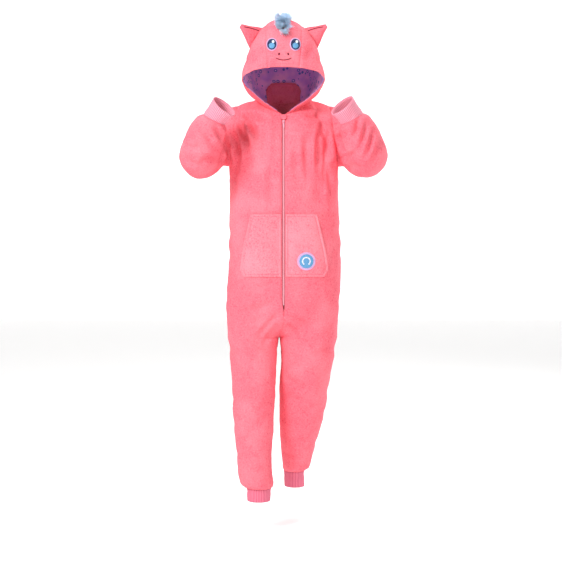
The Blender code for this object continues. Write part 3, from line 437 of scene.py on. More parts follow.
def sew_normals(faces: list[Face]) -> None:
    """Give sewn edges one normal, averaged over all the pieces that meet there."""
    tree = point_tree(np.vstack([face.points for face in faces]))
    rows = np.vstack([face.normals for face in faces])
    for face in faces:
        made = []
        for point in face.points:
            near = tree.find_range(point, SEAM_TOUCH)
            summed = np.sum([rows[i] for _, i, _ in near], axis=0)
            level = np.linalg.norm(summed) > 0.3 * len(near) ** 0.5
            made.append(summed if level else np.array([0.0, 0.0, -1.0]))
        face.normals = unit(np.array(made))


def new_mesh(name: str, points: Array, faces: list, finish: Material
             ) -> Piece:
    """Make one object from points and faces.

    Args:
        name: The piece's name.
        points: Its points, in the frame.
        faces: Its faces, outwards.
        finish: Its material.

    Returns:
        The new object, shaded smooth.
    """
    mesh = bpy.data.meshes.new(name)
    mesh.from_pydata([tuple(p) for p in points], [], [list(map(int, f)) for f in faces])
    mesh.materials.append(finish)
    mesh.polygons.foreach_set("use_smooth", [True] * len(mesh.polygons))
    mesh.update()
    made = bpy.data.objects.new(name, mesh)
    bpy.context.scene.collection.objects.link(made)
    return made


@dataclass(frozen=True)
class Cut:
    """How one cloth piece is cut and kept: its node, knit, flat size and share of it."""

    node: str
    knit: Knit
    flat: tuple[float, float]
    area: float
    thickness: float = 0.0025
    cuts: int = 6
    rests_on: tuple[str, ...] = ()
    toward: Look | None = None


@dataclass
class Cloth:
    """All the cloth of the garment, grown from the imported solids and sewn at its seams."""

    nodes: dict[str, Piece]
    cuts: list[Cut]
    seam_pull: float = 0.0017
    seam_reach: float = 0.0055
    pucker: float = 0.0011
    slider: Triple = (0.0, -0.115, -0.078)
    fork: Triple = (0.0, 0.0, -0.850)
    fold_depth: float = 1.60
    pocket_full: float = 0.0045
    faces: dict[str, Face] = field(default_factory=dict)
    outer: dict[str, tuple[Array, Array]] = field(default_factory=dict)
    seams: KDTree | None = None

    SEAM_STEP, SEAM_END, NEAR_SEAM = 0.004, 0.03, 0.0025
    PUCKER_PLACE, PUCKER_WIDTH, PUCKER_LIFT, PUCKER_SCALE = 0.010, 0.009, 0.0004, 62.0
    SLIDER_CALM, FORK_CALM, FORK_SEAM_CALM = 0.035, 0.055, 0.030
    INNER_LAP, OUTER_LAP = 0.0007, 0.00012
    TUCK_DEPTH, TUCK_REACH = 0.0010, 0.004
    FLAT_RIM, FULL_REACH = 0.008, 0.022
    GROOVE_PLACE, GROOVE_WIDTH, GROOVE_DEPTH, GROOVE_WAVE = 0.010, 0.0026, 0.0016, 0.0008
    HEM_PLACE, HEM_WIDTH, HEM_HEIGHT = 0.0045, 0.0032, 0.0022

    def take(self, sewn: list[str]) -> None:
        """Read every node's outer face and give the sewn ones shared normals.

        Args:
            sewn: The nodes that are sewn to each other.
        """
        for cut in self.cuts:
            self.faces[cut.node] = Face(self.nodes[cut.node], cut.thickness, cut.toward)
            LOG.info("%s: skin of %d triangles", cut.node, len(self.faces[cut.node].faces))
        sew_normals([self.faces[name] for name in sewn])
        self.seams = self._seam_tree(sewn)

    def _seam_tree(self, names: list[str]) -> KDTree:
        """Collect points along the edges where two pieces meet."""
        corners = point_tree(np.vstack([self.faces[name].points for name in names]))
        owners = [name for name in names for _ in self.faces[name].points]
        rows = []
        for name in names:
            face = self.faces[name]
            for a, b in Face.border(face.faces):
                ends = [face.points[a], face.points[b]]
                if all(any(owners[i] != name for _, i, _ in corners.find_range(p, SEAM_TOUCH))
                       for p in ends):
                    count = max(2, int(np.linalg.norm(ends[1] - ends[0]) / self.SEAM_STEP))
                    rows += [ends[0] + (ends[1] - ends[0]) * t / count for t in range(count + 1)]
        return point_tree(rows)

    def seam_shift(self, points: Array) -> Array:
        """Draw the cloth in along its seams, with small uneven puckers beside them."""
        out = np.zeros(len(points))
        for n, point in enumerate(points):
            far = self.seams.find(point)[2]
            if far > self.SEAM_END:
                continue
            valley = math.exp(-((far / self.seam_reach) ** 2))
            beside = math.exp(-(((far - self.PUCKER_PLACE) / self.PUCKER_WIDTH) ** 2))
            wave = noise.noise(Vector(point) * self.PUCKER_SCALE)
            out[n] = -self.seam_pull * valley + beside * (self.PUCKER_LIFT + self.pucker * wave)
        return out

    @staticmethod
    def calm(points: Array, place: Triple, reach: float) -> Array:
        """Fade a shift to nothing at a place where the cloth keeps its solid's shape."""
        far = np.linalg.norm((points - np.array(place)) * (1.0, 0.45, 1.0), axis=1)
        return 1.0 - np.exp(-((far / reach) ** 4))

    def form(self, points: Array, normals: Array) -> Array:
        """Move cloth by its swell and its creases, the same for every layer at a place."""
        shift = softness(points)
        for crease in CREASES:
            shift += crease.shift(points, normals) * self.fold_depth
        shift *= self.calm(points, self.slider, self.SLIDER_CALM)
        shift *= self.calm(points, self.fork, self.FORK_CALM)
        return points + normals * shift[:, None]

    def dress(self, cut: Cut, finish: Material) -> Piece:
        """Args:
            cut: The piece's cut.
            finish: Its material.

        Returns:
            The finished piece, which replaces its node.
        """
        face = self.faces[cut.node]
        points, faces, normals = face.refined(cut.cuts)
        base = points
        points = self.form(points, normals)
        if cut.knit is Knit.FLEECE:
            drawn = self.seam_shift(base) * self.calm(base, self.fork, self.FORK_SEAM_CALM)
            points = points + normals * drawn[:, None]
        if cut.node.startswith(("pocket", "zip_guard", "ear")):
            points = self.tuck_edges(points, faces, normals)
        if cut.node.startswith("pocket"):
            points = self.fill_pocket(points, faces, normals)
        self.outer[cut.node] = (points, faces)
        count = len(points)
        out = self.allowance(base, faces, normals)
        inner = points - normals * cut.thickness + out * self.INNER_LAP
        points = points + out * self.OUTER_LAP
        solid = faces.tolist() + (faces[:, ::-1] + count).tolist()
        solid += [[b, a, a + count, b + count] for a, b in Face.border(faces)]
        made = new_mesh(f"{cut.node}_cloth", np.vstack([points, inner]), solid, finish)
        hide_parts(cut.node)
        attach(made, BODY)
        area = sum(polygon.area for polygon in made.data.polygons) / 2
        LOG.info("%s: %d faces, %.4f square metres", made.name, len(solid), area)
        return made

    def allowance(self, points: Array, faces: Array, normals: Array) -> Array:
        """Find the way from each sewn edge's points towards the piece beyond, or zero.

        Args:
            points: The piece's points before it is creased.
            faces: Its triangles.
            normals: The way that it faces.

        Returns:
            One way for each point.
        """
        ways = np.zeros_like(points)
        for a, b in Face.border(faces):
            beyond = np.cross(points[b] - points[a], normals[a] + normals[b])
            for k in (a, b):
                if self.seams.find(points[k])[2] < self.NEAR_SEAM:
                    ways[k] += unit(beyond)
        return unit(ways) * (np.linalg.norm(ways, axis=1) > 0.3)[:, None]

    def tuck_edges(self, points: Array, faces: Array, normals: Array) -> Array:
        """Round a turned edge down towards what the piece is sewn to."""
        far = edge_distance(points, faces)
        depth = self.TUCK_DEPTH * np.exp(-((far / self.TUCK_REACH) ** 2))
        return points - normals * depth[:, None]

    def fill_pocket(self, points: Array, faces: Array, normals: Array) -> Array:
        """Let a pocket stand a little full, with a groove where it is stitched down."""
        far = edge_distance(points, faces)
        inside = np.clip(far - self.FLAT_RIM, 0, None) / self.FULL_REACH
        full = self.pocket_full * (1 - np.exp(-(inside**2)))
        wave = np.array([noise.noise(Vector(p) * 55.0) for p in points])
        groove = np.exp(-(((far - self.GROOVE_PLACE) / self.GROOVE_WIDTH) ** 2))
        groove *= self.GROOVE_DEPTH + self.GROOVE_WAVE * wave
        hem = self.HEM_HEIGHT * np.exp(-(((far - self.HEM_PLACE) / self.HEM_WIDTH) ** 2))
        return points + normals * (full + hem - groove)[:, None]

    def surface(self, *names: str) -> BVHTree:
        """Give the outer faces of some finished pieces, to lay trimming on."""
        points: list[Array] = []
        faces: list[list[int]] = []
        for name in names:
            own, tris = self.outer[name]
            faces += (tris + len(points)).tolist()
            points += list(own)
        return BVHTree.FromPolygons([tuple(p) for p in points], faces)


@dataclass(frozen=True)
class Graph:
    """A node tree, with short ways to add the nodes that the finishes are made of."""

    tree: Tree

    @classmethod
    def blank(cls, name: str) -> tuple[Material, Graph, Node]:
        """Start a material, and give it with its graph and its shader."""
        made = bpy.data.materials.new(name)
        made.use_nodes = True
        return made, cls(made.node_tree), made.node_tree.nodes["Principled BSDF"]

    def fill(self, node: Node, inputs: dict[str | int, object]) -> None:
        """Set a node's inputs, each by a socket or a value."""
        for label, value in inputs.items():
            if isinstance(value, Socket):
                self.tree.links.new(value, node.inputs[label])
            else:
                node.inputs[label].default_value = value

    def add(self, kind: str, inputs: dict[str | int, object]) -> Node:
        """Add a node with its inputs set."""
        node = self.tree.nodes.new(kind)
        self.fill(node, inputs)
        return node

    def where(self) -> Socket:
        """Add the coordinates that ride with the piece."""
        return self.add("ShaderNodeTexCoord", {}).outputs["Object"]

    def noise(self, scale: Socket | float, detail: float, rough: float, where: Socket) -> Socket:
        """Add a noise texture and give its factor."""
        return self.add("ShaderNodeTexNoise", {
            "Vector": where, "Scale": scale, "Detail": detail, "Roughness": rough,
        }).outputs["Fac"]

    def stretch(self, value: Socket, low: float, high: float,
                to: tuple[float, float] = (0.0, 1.0)) -> Socket:
        """Stretch a factor smoothly to a new range."""
        node = self.add("ShaderNodeMapRange", {
            "Value": value, "From Min": low, "From Max": high, "To Min": to[0], "To Max": to[1]})
        node.interpolation_type = "SMOOTHSTEP"
        return node.outputs["Result"]

    def mix(self, factor: Socket, *colours: Socket | Triple) -> Socket:
        """Mix two colours."""
        node = self.tree.nodes.new("ShaderNodeMix")
        node.data_type = "RGBA"
        first, second = (c if isinstance(c, Socket) else (*c, 1.0) for c in colours)
        self.fill(node, {"Factor": factor, 6: first, 7: second})
        return node.outputs[2]

    def math(self, kind: str, a: Socket, b: Socket | float = 0.0) -> Socket:
        """Add a math node."""
        node = self.add("ShaderNodeMath", {0: a, 1: b})
        node.operation = kind
        return node.outputs[0]

    def bump(self, height: Socket, strength: float, distance: Socket | float) -> Socket:
        """Add a bump node and give its normal."""
        return self.add("ShaderNodeBump", {
            "Strength": strength, "Distance": distance, "Height": height}).outputs["Normal"]


class Paint:
    """Build the finishes out of node groups that put out only colours and normals."""

    def __init__(self) -> None:
        """Make the groups that several finishes share."""
        self.nap = self._nap_group()
        self.thread = self._thread_group()

    @staticmethod
    def _group(name: str, inputs: dict[str, object]) -> tuple[Graph, Node, Node]:
        """Start a node group with named inputs that puts out colour, normal and roughness."""
        tree = bpy.data.node_groups.new(name, "ShaderNodeTree")
        for label, value in inputs.items():
            kind = "NodeSocketColor" if isinstance(value, tuple) else "NodeSocketFloat"
            socket = tree.interface.new_socket(label, in_out="INPUT", socket_type=kind)
            socket.default_value = value
        for label, kind in (("Colour", "NodeSocketColor"), ("Normal", "NodeSocketVector"),
                            ("Roughness", "NodeSocketFloat")):
            tree.interface.new_socket(label, in_out="OUTPUT", socket_type=kind)
        return Graph(tree), tree.nodes.new("NodeGroupInput"), tree.nodes.new("NodeGroupOutput")

    def _nap_group(self) -> Tree:
        """Make pile: clumps, short fibres, painted shade and highlight, broad patches of painted
        sheen.
        """
        graph, start, end = self._group("pile_nap", {
            "Base": (1, 1, 1, 1), "Shaded": (0, 0, 0, 1), "Highlight": (1, 1, 1, 1),
            "Clumps": 150.0, "Fibres": 900.0, "Depth": 0.0016})
        given = start.outputs
        where = graph.where()
        clumps = graph.noise(given["Clumps"], 4.0, 0.62, where)
        fibres = graph.noise(given["Fibres"], 3.0, 0.7, where)
        patches = graph.noise(9.0, 3.0, 0.55, where)
        # Painted shade and painted highlight: the clumps' low places are darkened and their high
        # places lightened, at the heights that the bump uses.
        hollow_shade = graph.stretch(clumps, 0.28, 0.50)
        light = graph.stretch(clumps, 0.54, 0.74, (0.0, 0.6))
        # Painted sheen: broad patches are lightened toward the lightest colour.
        sheen_patches = graph.stretch(patches, 0.40, 0.66, (0.0, 0.35))
        colour = graph.mix(hollow_shade, given["Shaded"], given["Base"])
        colour = graph.mix(light, colour, given["Highlight"])
        colour = graph.mix(sheen_patches, colour, given["Highlight"])
        height = graph.math("ADD", graph.math("MULTIPLY", clumps, 1.6),
                            graph.math("MULTIPLY", fibres, 0.55))
        graph.fill(end, {
            "Colour": colour, "Normal": graph.bump(height, 0.85, given["Depth"]),
            "Roughness": graph.stretch(clumps, 0.3, 0.7, (0.98, 0.80))})
        return graph.tree

    def _thread_group(self) -> Tree:
        """Make lustrous thread laid side by side across a piece, with painted shade between the
        threads.
        """
        graph, start, end = self._group("laid_thread", {
            "Base": (1, 1, 1, 1), "Shade": (0, 0, 0, 1), "Threads": 420.0})
        wave = graph.add("ShaderNodeTexWave", {
            "Distortion": 1.4, "Detail": 2.0, "Scale": start.outputs["Threads"],
            "Vector": graph.where()})
        wave.wave_type = "BANDS"
        wave.bands_direction = "DIAGONAL"
        light = wave.outputs["Fac"]
        colour = graph.mix(graph.stretch(light, 0.1, 0.75), start.outputs["Shade"],
                           start.outputs["Base"])
        graph.fill(end, {
            "Colour": colour, "Normal": graph.bump(light, 0.6, 0.0004),
            "Roughness": graph.stretch(light, 0.0, 1.0, (0.62, 0.42))})
        return graph.tree

    def _dressed(self, name: str, group: Tree, values: dict[str, object], sheen: float,
                 tint: Triple) -> Material:
        """Make a material whose colour, roughness and normal come from one group.

        Args:
            name: The material's name.
            group: The node group.
            values: Values for its inputs.
            sheen: The weight of the fibres' sheen.
            tint: The sheen's colour.

        Returns:
            The material.
        """
        made, graph, shader = Graph.blank(name)
        node = graph.tree.nodes.new("ShaderNodeGroup")
        node.node_tree = group
        graph.fill(node, {label: (*value, 1.0) if isinstance(value, tuple) else value
                          for label, value in values.items()})
        graph.fill(shader, {
            "Base Color": node.outputs["Colour"], "Roughness": node.outputs["Roughness"],
            "Normal": node.outputs["Normal"], "Sheen Weight": sheen, "Sheen Roughness": 0.45,
            "Sheen Tint": (*tint, 1.0), "Specular IOR Level": 0.25})
        return made

    def pile(self, name: str, base: tuple, shaded: tuple, highlight: tuple, clumps: float = 150.0,
             depth: float = 0.0016, sheen: float = 0.45) -> Material:
        """Make a napped pile cloth from a base colour, a painted shade colour and a painted
        highlight colour.
        """
        return self._dressed(name, self.nap, {
            "Base": base, "Shaded": shaded, "Highlight": highlight, "Clumps": clumps, "Depth": depth,
        }, sheen, highlight)

    def embroidery(self, name: str, base: tuple, shade: tuple, threads: float) -> Material:
        """Make satin-stitched thread, whose shade colour is painted shade between its threads."""
        return self._dressed(name, self.thread, {
            "Base": base, "Shade": shade, "Threads": threads}, 0.2, base)

    def rib(self, name: str, base: tuple, groove: tuple, ribs: float) -> Material:
        """Make a ribbed knit whose ribs follow the piece's own UV map, with painted shade between
        the ribs.
        """
        made, graph, shader = Graph.blank(name)
        uv = graph.tree.nodes.new("ShaderNodeUVMap")
        uv.uv_map = "Around"
        split = graph.add("ShaderNodeSeparateXYZ", {"Vector": uv.outputs["UV"]})
        turns = graph.math("MULTIPLY", split.outputs["X"], ribs * 2 * math.pi)
        wave = graph.math("SINE", turns)
        rows = graph.math("SINE", graph.math("MULTIPLY", split.outputs["Y"], 4200.0))
        fuzz = graph.noise(700.0, 3.0, 0.6, graph.where())
        # Painted shade: the colour darkens toward the groove colour where the ribs lie low.
        colour = graph.mix(graph.stretch(wave, -0.8, 0.5), groove, base)
        height = graph.math("ADD", wave, graph.math("MULTIPLY", rows, 0.16))
        height = graph.math("ADD", height, graph.math("MULTIPLY", fuzz, 0.8))
        graph.fill(shader, {
            "Base Color": colour, "Normal": graph.bump(height, 0.9, 0.0007),
            "Roughness": graph.stretch(fuzz, 0.2, 0.8, (0.92, 0.78)),
            "Sheen Weight": 0.25, "Sheen Tint": (*base, 1.0)})
        return made

    def printed(self, name: str) -> Material:
        """Make the lining: lilac jersey printed with scattered round spots and rings."""
        made, graph, shader = Graph.blank(name)
        where = graph.where()
        cells = graph.add("ShaderNodeTexVoronoi", {
            "Scale": 46.0, "Randomness": 0.75, "Vector": where}).outputs["Distance"]
        spot = graph.stretch(cells, 0.33, 0.28)
        middle = graph.stretch(cells, 0.17, 0.13)
        wide = graph.stretch(graph.noise(14.0, 2.0, 0.5, where), 0.4, 0.62)
        ground = graph.mix(wide, (0.62, 0.30, 0.72), (0.92, 0.44, 0.76))
        colour = graph.mix(spot, ground, (0.12, 0.16, 0.50))
        colour = graph.mix(middle, colour, (0.85, 0.55, 0.84))
        knit = graph.noise(1600.0, 2.0, 0.6, where)
        graph.fill(shader, {
            "Base Color": colour, "Normal": graph.bump(knit, 0.4, 0.0003),
            "Roughness": graph.stretch(knit, 0.2, 0.8, (0.85, 0.7)), "Sheen Weight": 0.15})
        return made

    def moulded(self, name: str, base: tuple, worn: tuple, metallic: float, rough: float
                ) -> Material:
        """Make painted metal or moulded plastic with faint rubbed patches."""
        made, graph, shader = Graph.blank(name)
        rubbed = graph.noise(420.0, 4.0, 0.6, graph.where())
        colour = graph.mix(graph.stretch(rubbed, 0.5, 0.7), base, worn)
        graph.fill(shader, {
            "Base Color": colour, "Normal": graph.bump(rubbed, 0.25, 0.0002),
            "Roughness": graph.stretch(rubbed, 0.3, 0.7, (rough, rough + 0.15)),
            "Metallic": metallic})
        return made


def tube_faces(start: int, rings: int, sides: int) -> list[list[int]]:
    """Join rings of points into a tube closed at both ends.

    Args:
        start: The first ring's first point.
        rings: How many rings it has.
        sides: How many points each ring has.

    Returns:
        Its faces.
    """
    faces = []
    for low in range(start, start + (rings - 1) * sides, sides):
        for k in range(sides):
            nxt = (k + 1) % sides
            faces.append([low + k, low + sides + k, low + sides + nxt, low + nxt])
    faces.append([start + k for k in range(sides)])
    faces.append([start + rings * sides - 1 - k for k in range(sides)])
    return faces


def ahead_of(points: Array) -> Array:
    """Give the way along a path at each of its points."""
    return unit(np.gradient(points, axis=0))


def in_front(spots: list[tuple[float, float]]) -> Array:
    """Place points before the costume, from across and height above the floor."""
    return np.array([(x, -0.2, height - SHOULDERS) for x, height in spots])


@dataclass
class Trimming:
    """Threads, zip teeth, appliqué and fur that are laid on the finished cloth."""

    rng: random.Random = field(default_factory=lambda: random.Random(7))

    STITCH_RINGS = ((-0.5, 0.35, -0.2), (-0.28, 1.0, 0.55), (0.28, 1.0, 0.55), (0.5, 0.35, -0.2))
    BAND_PITCH = 0.0022
    BAND_PROFILE = ((-0.5, -0.35), (-0.42, 0.55), (0.0, 1.0), (0.42, 0.55), (0.5, -0.35))
    BACKING = 0.0012
    TOOTH_PITCH, TOOTH_HALF = 0.0026, 0.00055
    TOOTH_RINGS = ((-2.6, 0.55, -0.6), (-1.9, 0.95, 0.55), (0.9, 0.95, 0.75), (1.5, 0.5, 0.2))
    LOCKS, LEVELS, SPREAD, WAVE = 64, 5, 0.0046, 0.0034

    @staticmethod
    def closed(name: str, points: Array | list[Array], faces: list, finish: Material
               ) -> Piece:
        """Make a closed piece that faces outwards and rides the garment.

        Args:
            name: The piece's name.
            points: Its points.
            faces: Its faces.
            finish: Its material.

        Returns:
            The piece.
        """
        made = new_mesh(name, points, faces, finish)
        edit(made, lambda: bpy.ops.mesh.normals_make_consistent(inside=False))
        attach(made, BODY)
        LOG.info("%s: %d faces", name, len(faces))
        return made

    @staticmethod
    def settle(tree: BVHTree, points: Array) -> tuple[Array, Array]:
        """Move points to the nearest place on a surface.

        Args:
            tree: The surface.
            points: The points to move.

        Returns:
            The places and the surface's normals there.
        """
        found = [tree.find_nearest(Vector(p))[:2] for p in points]
        return np.array([f[0] for f in found]), np.array([f[1] for f in found])

    @staticmethod
    def cast(tree: BVHTree, points: Array, way: Triple = (0.0, 1.0, 0.0)
             ) -> tuple[Array, Array]:
        """Drop points along a direction onto a surface, or settle those that miss it."""
        places, normals = [], []
        for point in points:
            start = Vector(point) - Vector(way) * 0.6
            place, normal = tree.ray_cast(start, Vector(way))[:2]
            if place is None:
                place, normal = tree.find_nearest(Vector(point))[:2]
            places.append(place)
            normals.append(normal)
        return np.array(places), np.array(normals)

    @staticmethod
    def spaced(path: Array, pitch: float) -> Array:
        """Place points at an even pitch along a path."""
        steps = np.linalg.norm(np.diff(path, axis=0), axis=1)
        along = np.concatenate([[0.0], np.cumsum(steps)])
        count = max(int(along[-1] / pitch), 1)
        at = (np.arange(count) + 0.5) * along[-1] / count
        return np.stack([np.interp(at, along, path[:, k]) for k in range(3)], axis=1)

    def stitches(self, name: str, tree: BVHTree, paths: list[Array], finish: Material,
                 pitch: float = STITCH_PITCH, radius: float = THREAD, seen: bool = False
                 ) -> Piece:
        """Sew rows of short threads on a surface.

        Args:
            name: The piece's name.
            tree: The surface.
            paths: The rows' paths.
            finish: The thread's material.
            pitch: The distance from one stitch to the next.
            radius: The thread's radius.
            seen: True to drop the paths on the surface from the front.

        Returns:
            All the stitches as one object.
        """
        points: list[Array] = []
        faces: list[list[int]] = []
        for path in paths:
            drop = self.cast if seen else self.settle
            places, normals = drop(tree, self.spaced(path, pitch))
            for place, normal, aim in zip(places, normals, ahead_of(places)):
                side = np.cross(normal, aim)
                faces += tube_faces(len(points), 4, 4)
                for t, size, lift in self.STITCH_RINGS:
                    centre = place + aim * STITCH_LENGTH * t + normal * (radius * lift)
                    for turn in (0.25, 0.75, 1.25, 1.75):
                        angle = turn * math.pi
                        points.append(centre + (side * math.cos(angle) + normal * math.sin(angle))
                                      * radius * size)
        return self.closed(name, points, faces, finish)

    def applique(self, name: str, tree: BVHTree, centre: tuple[float, float],
                 size: tuple[float, float], lift: float, finish: Material,
                 dome: float = 0.0008, turn: float = 0.0, rings: int = 9,
                 sides: int = 44) -> Piece:
        """Lay an oval of embroidered cloth on a surface seen from the front.

        Args:
            name: The piece's name.
            tree: The surface.
            centre: Its middle, as x and height above the floor.
            size: Half its width and half its height.
            lift: How far its edge stands off the surface.
            finish: Its material.
            dome: How much higher its middle is.
            turn: Its turn in the front view, in radians.
            rings: How many rings it has.
            sides: How many sides each ring has.

        Returns:
            The oval.
        """
        rough, shares = [], []
        for ring in range(rings + 1):
            share = ring / rings
            for k in range(sides if ring else 1):
                angle = 2 * math.pi * k / sides
                x, z = size[0] * share * math.cos(angle), size[1] * share * math.sin(angle)
                rough.append((centre[0] + x * math.cos(turn) - z * math.sin(turn), -0.12,
                              centre[1] - SHOULDERS + x * math.sin(turn) + z * math.cos(turn)))
                shares.append(share)
        places, normals = self.cast(tree, np.array(rough))
        shares_row = np.array(shares)[:, None]
        top = places + normals * (lift + dome * np.sqrt(np.clip(1 - shares_row**3, 0, 1)))
        low = places + normals * (lift - self.BACKING)
        count = len(top)
        faces = []
        for k in range(sides):
            nxt = (k + 1) % sides
            faces.append([0, 1 + k, 1 + nxt])
            for ring in range(rings - 1):
                a, b = 1 + ring * sides, 1 + (ring + 1) * sides
                faces.append([a + k, b + k, b + nxt, a + nxt])
        faces += [[i + count for i in reversed(face)] for face in faces]
        edge = 1 + (rings - 1) * sides
        for k in range(sides):
            nxt = (k + 1) % sides
            faces.append([edge + nxt, edge + k, edge + k + count, edge + nxt + count])
        return self.closed(name, np.vstack([top, low]), faces, finish)

    def band(self, name: str, tree: BVHTree, path: Array, width: float, height: float,
             finish: Material) -> Piece:
        """Lay a narrow raised band of satin stitch along a path on a surface.

        Args:
            name: The piece's name.
            tree: The surface.
            path: The path, roughly, as seen from the front.
            width: The band's width.
            height: How far it stands off the surface.
            finish: Its material.

        Returns:
            The band.
        """
        places, normals = self.cast(tree, self.spaced(path, self.BAND_PITCH))
        side = unit(np.cross(normals, ahead_of(places)))
        rows = [places + side * width * a + normals * height * b for a, b in self.BAND_PROFILE]
        points = np.stack(rows, axis=1).reshape(-1, 3)
        wide = len(rows)
        faces = []
        for n in range(len(places) - 1):
            for k in range(wide):
                nxt = (k + 1) % wide
                a, b = n * wide, (n + 1) * wide
                faces.append([a + k, a + nxt, b + nxt, b + k])
        faces.append(list(range(wide)))
        faces.append([len(points) - 1 - k for k in range(wide)])
        return self.closed(name, points, faces, finish)

    def teeth(self, tree: BVHTree, low: float, high: float, finish: Material
              ) -> Piece:
        """Build the zip's closed coil as two rows of teeth that mesh in its middle.

        Args:
            tree: The plain coil's outer face.
            low: The height of its lower end above the floor.
            high: The height of its upper end.
            finish: Its material.

        Returns:
            All the teeth as one object.
        """
        count = int((high - low) / self.TOOTH_PITCH)
        rough = np.array([(0.0, -0.15, low - SHOULDERS + self.TOOTH_PITCH * n)
                          for n in range(count)])
        places, normals = self.cast(tree, rough)
        points, faces = [], []
        for n, (place, normal, along) in enumerate(zip(places, normals, ahead_of(places))):
            lean = 1 if n % 2 else -1
            side = np.cross(normal, along)
            faces += tube_faces(len(points), 4, 4)
            for reach, tall, out in self.TOOTH_RINGS:
                centre = place + side * lean * (reach * 0.001) + normal * out * 0.001
                for u, v in ((-1, -1), (1, -1), (1, 1), (-1, 1)):
                    points.append(centre + along * u * tall * 0.001 + normal * v * self.TOOTH_HALF)
        made = self.closed("zip_teeth", points, faces, finish)
        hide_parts("zip_coil")
        return made

    def fur(self, tree: BVHTree, finish: Material, strands: int = 2300
            ) -> Piece:
        """Grow the forelock's long soft pile from the hood.

        Args:
            tree: The hood's outer face.
            finish: The fur's material.
            strands: How many locks of a few fibres it has.

        Returns:
            The fur as one object.
        """
        points, faces = [], []
        locks = []
        for _ in range(self.LOCKS):
            x, y = self.rng.uniform(-0.020, 0.020), self.rng.uniform(-0.134, 0.004)
            lean = unit(np.array([x * 12.0 + self.rng.gauss(0, 0.20),
                                  (y + 0.020) * 13.0 + self.rng.gauss(0, 0.22) - 0.15, 1.0]))
            locks.append((x, y, lean, self.rng.uniform(0.024, 0.041),
                          self.rng.uniform(0, 2 * math.pi)))
        for _ in range(strands):
            middle_x, middle_y, way, long, curl = self.rng.choice(locks)
            x = middle_x + self.rng.gauss(0, self.SPREAD)
            y = middle_y + self.rng.gauss(0, self.SPREAD)
            place = tree.ray_cast(Vector((x, y, 0.6)), Vector((0, 0, -1)))[0]
            if place is None:
                continue
            root = np.array(place) - np.array([0.0, 0.0, 0.001])
            gather = np.array([middle_x - x, middle_y - y, 0.0]) * 26.0
            length = long * self.rng.uniform(0.72, 1.08)
            loose = np.array([self.rng.gauss(0, 0.09), self.rng.gauss(0, 0.09), 0.0])
            lean = unit(way + loose + gather * 0.35)
            fall = np.array([lean[0] * 0.5, lean[1] * 0.6 - 0.30, -0.80 + 5.0 * (middle_y + 0.03)])
            wide = self.rng.uniform(0.0006, 0.0011)
            side = unit(np.cross(lean, np.array([0.2, 1.0, 0.1])))
            other = np.cross(lean, side)
            faces += tube_faces(len(points), self.LEVELS, 3)
            for level in range(self.LEVELS):
                t = level / (self.LEVELS - 1)
                wave = side * math.cos(curl + 3 * t) + other * math.sin(curl + 3 * t)
                centre = (root + lean * length * t + fall * length * 0.45 * t * t
                          + wave * self.WAVE * t)
                size = wide * (1.0 - 0.82 * t)
                for k in range(3):
                    angle = 2 * math.pi * k / 3
                    points.append(centre + (side * math.cos(angle) + other * math.sin(angle))
                                  * size)
        made = self.closed("forelock_fur", points, faces, finish)
        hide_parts("forelock")
        return made


def around_map(piece: Piece, points: Array) -> None:
    """Give a tube a UV map whose first value runs once around it.

    Args:
        piece: The tube.
        points: Its outer points, from which its axis is read.
    """
    middle = points.mean(0)
    _, _, axes = np.linalg.svd(points - middle, full_matrices=False)
    spread = [np.ptp((points - middle) @ axis) for axis in axes]
    order = np.argsort(spread)
    rim = [axes[order[1]], axes[order[2]]]
    ahead = axes[order[0]]
    if piece.name.startswith("ankle"):
        rim, ahead = [np.array([1.0, 0, 0]), np.array([0, 1.0, 0])], np.array([0, 0, 1.0])
    mesh = piece.data
    co = np.array([v.co for v in mesh.vertices]) - middle
    turn = np.arctan2(co @ rim[1], co @ rim[0]) / (2 * math.pi)
    along = co @ ahead
    layer = mesh.uv_layers.new(name="Around")
    for polygon in mesh.polygons:
        turns = [turn[v] for v in polygon.vertices]
        for loop, value, vertex in zip(polygon.loop_indices, turns, polygon.vertices):
            wrapped = value + 1.0 if max(turns) - value > 0.5 else value
            layer.data[loop].uv = (wrapped, along[vertex])


def rim_rows(cloth: Cloth, node: str, inset: float) -> list[Array]:
    """Follow a piece's free edge, which is sewn to nothing, a little way in from it.

    Args:
        cloth: The finished cloth.
        node: The piece's node.
        inset: How far in from the edge.

    Returns:
        Paths beside the edge.
    """
    points, faces = cloth.outer[node]
    edges = [(a, b) for a, b in Face.border(faces)
             if min(cloth.seams.find(points[k])[2] for k in (a, b)) > FREE_EDGE]
    after = dict(edges)
    starts = set(after) - set(after.values())
    normals = Face.own_normals(points, faces)
    paths = []
    for start in sorted(starts):
        run = [start]
        while run[-1] in after:
            run.append(after.pop(run[-1]))
        if len(run) > 6:
            inward = unit(np.cross(normals[run], ahead_of(points[run])))
            paths.append(points[run] + inward * inset)
    return paths


def tint(red: int, green: int, blue: int) -> Triple:
    """Turn a screen colour into the linear colour that a shader reads."""
    parts = [value / 255 for value in (red, green, blue)]
    return tuple(p / 12.92 if p <= 0.04045 else ((p + 0.055) / 1.055) ** 2.4 for p in parts)


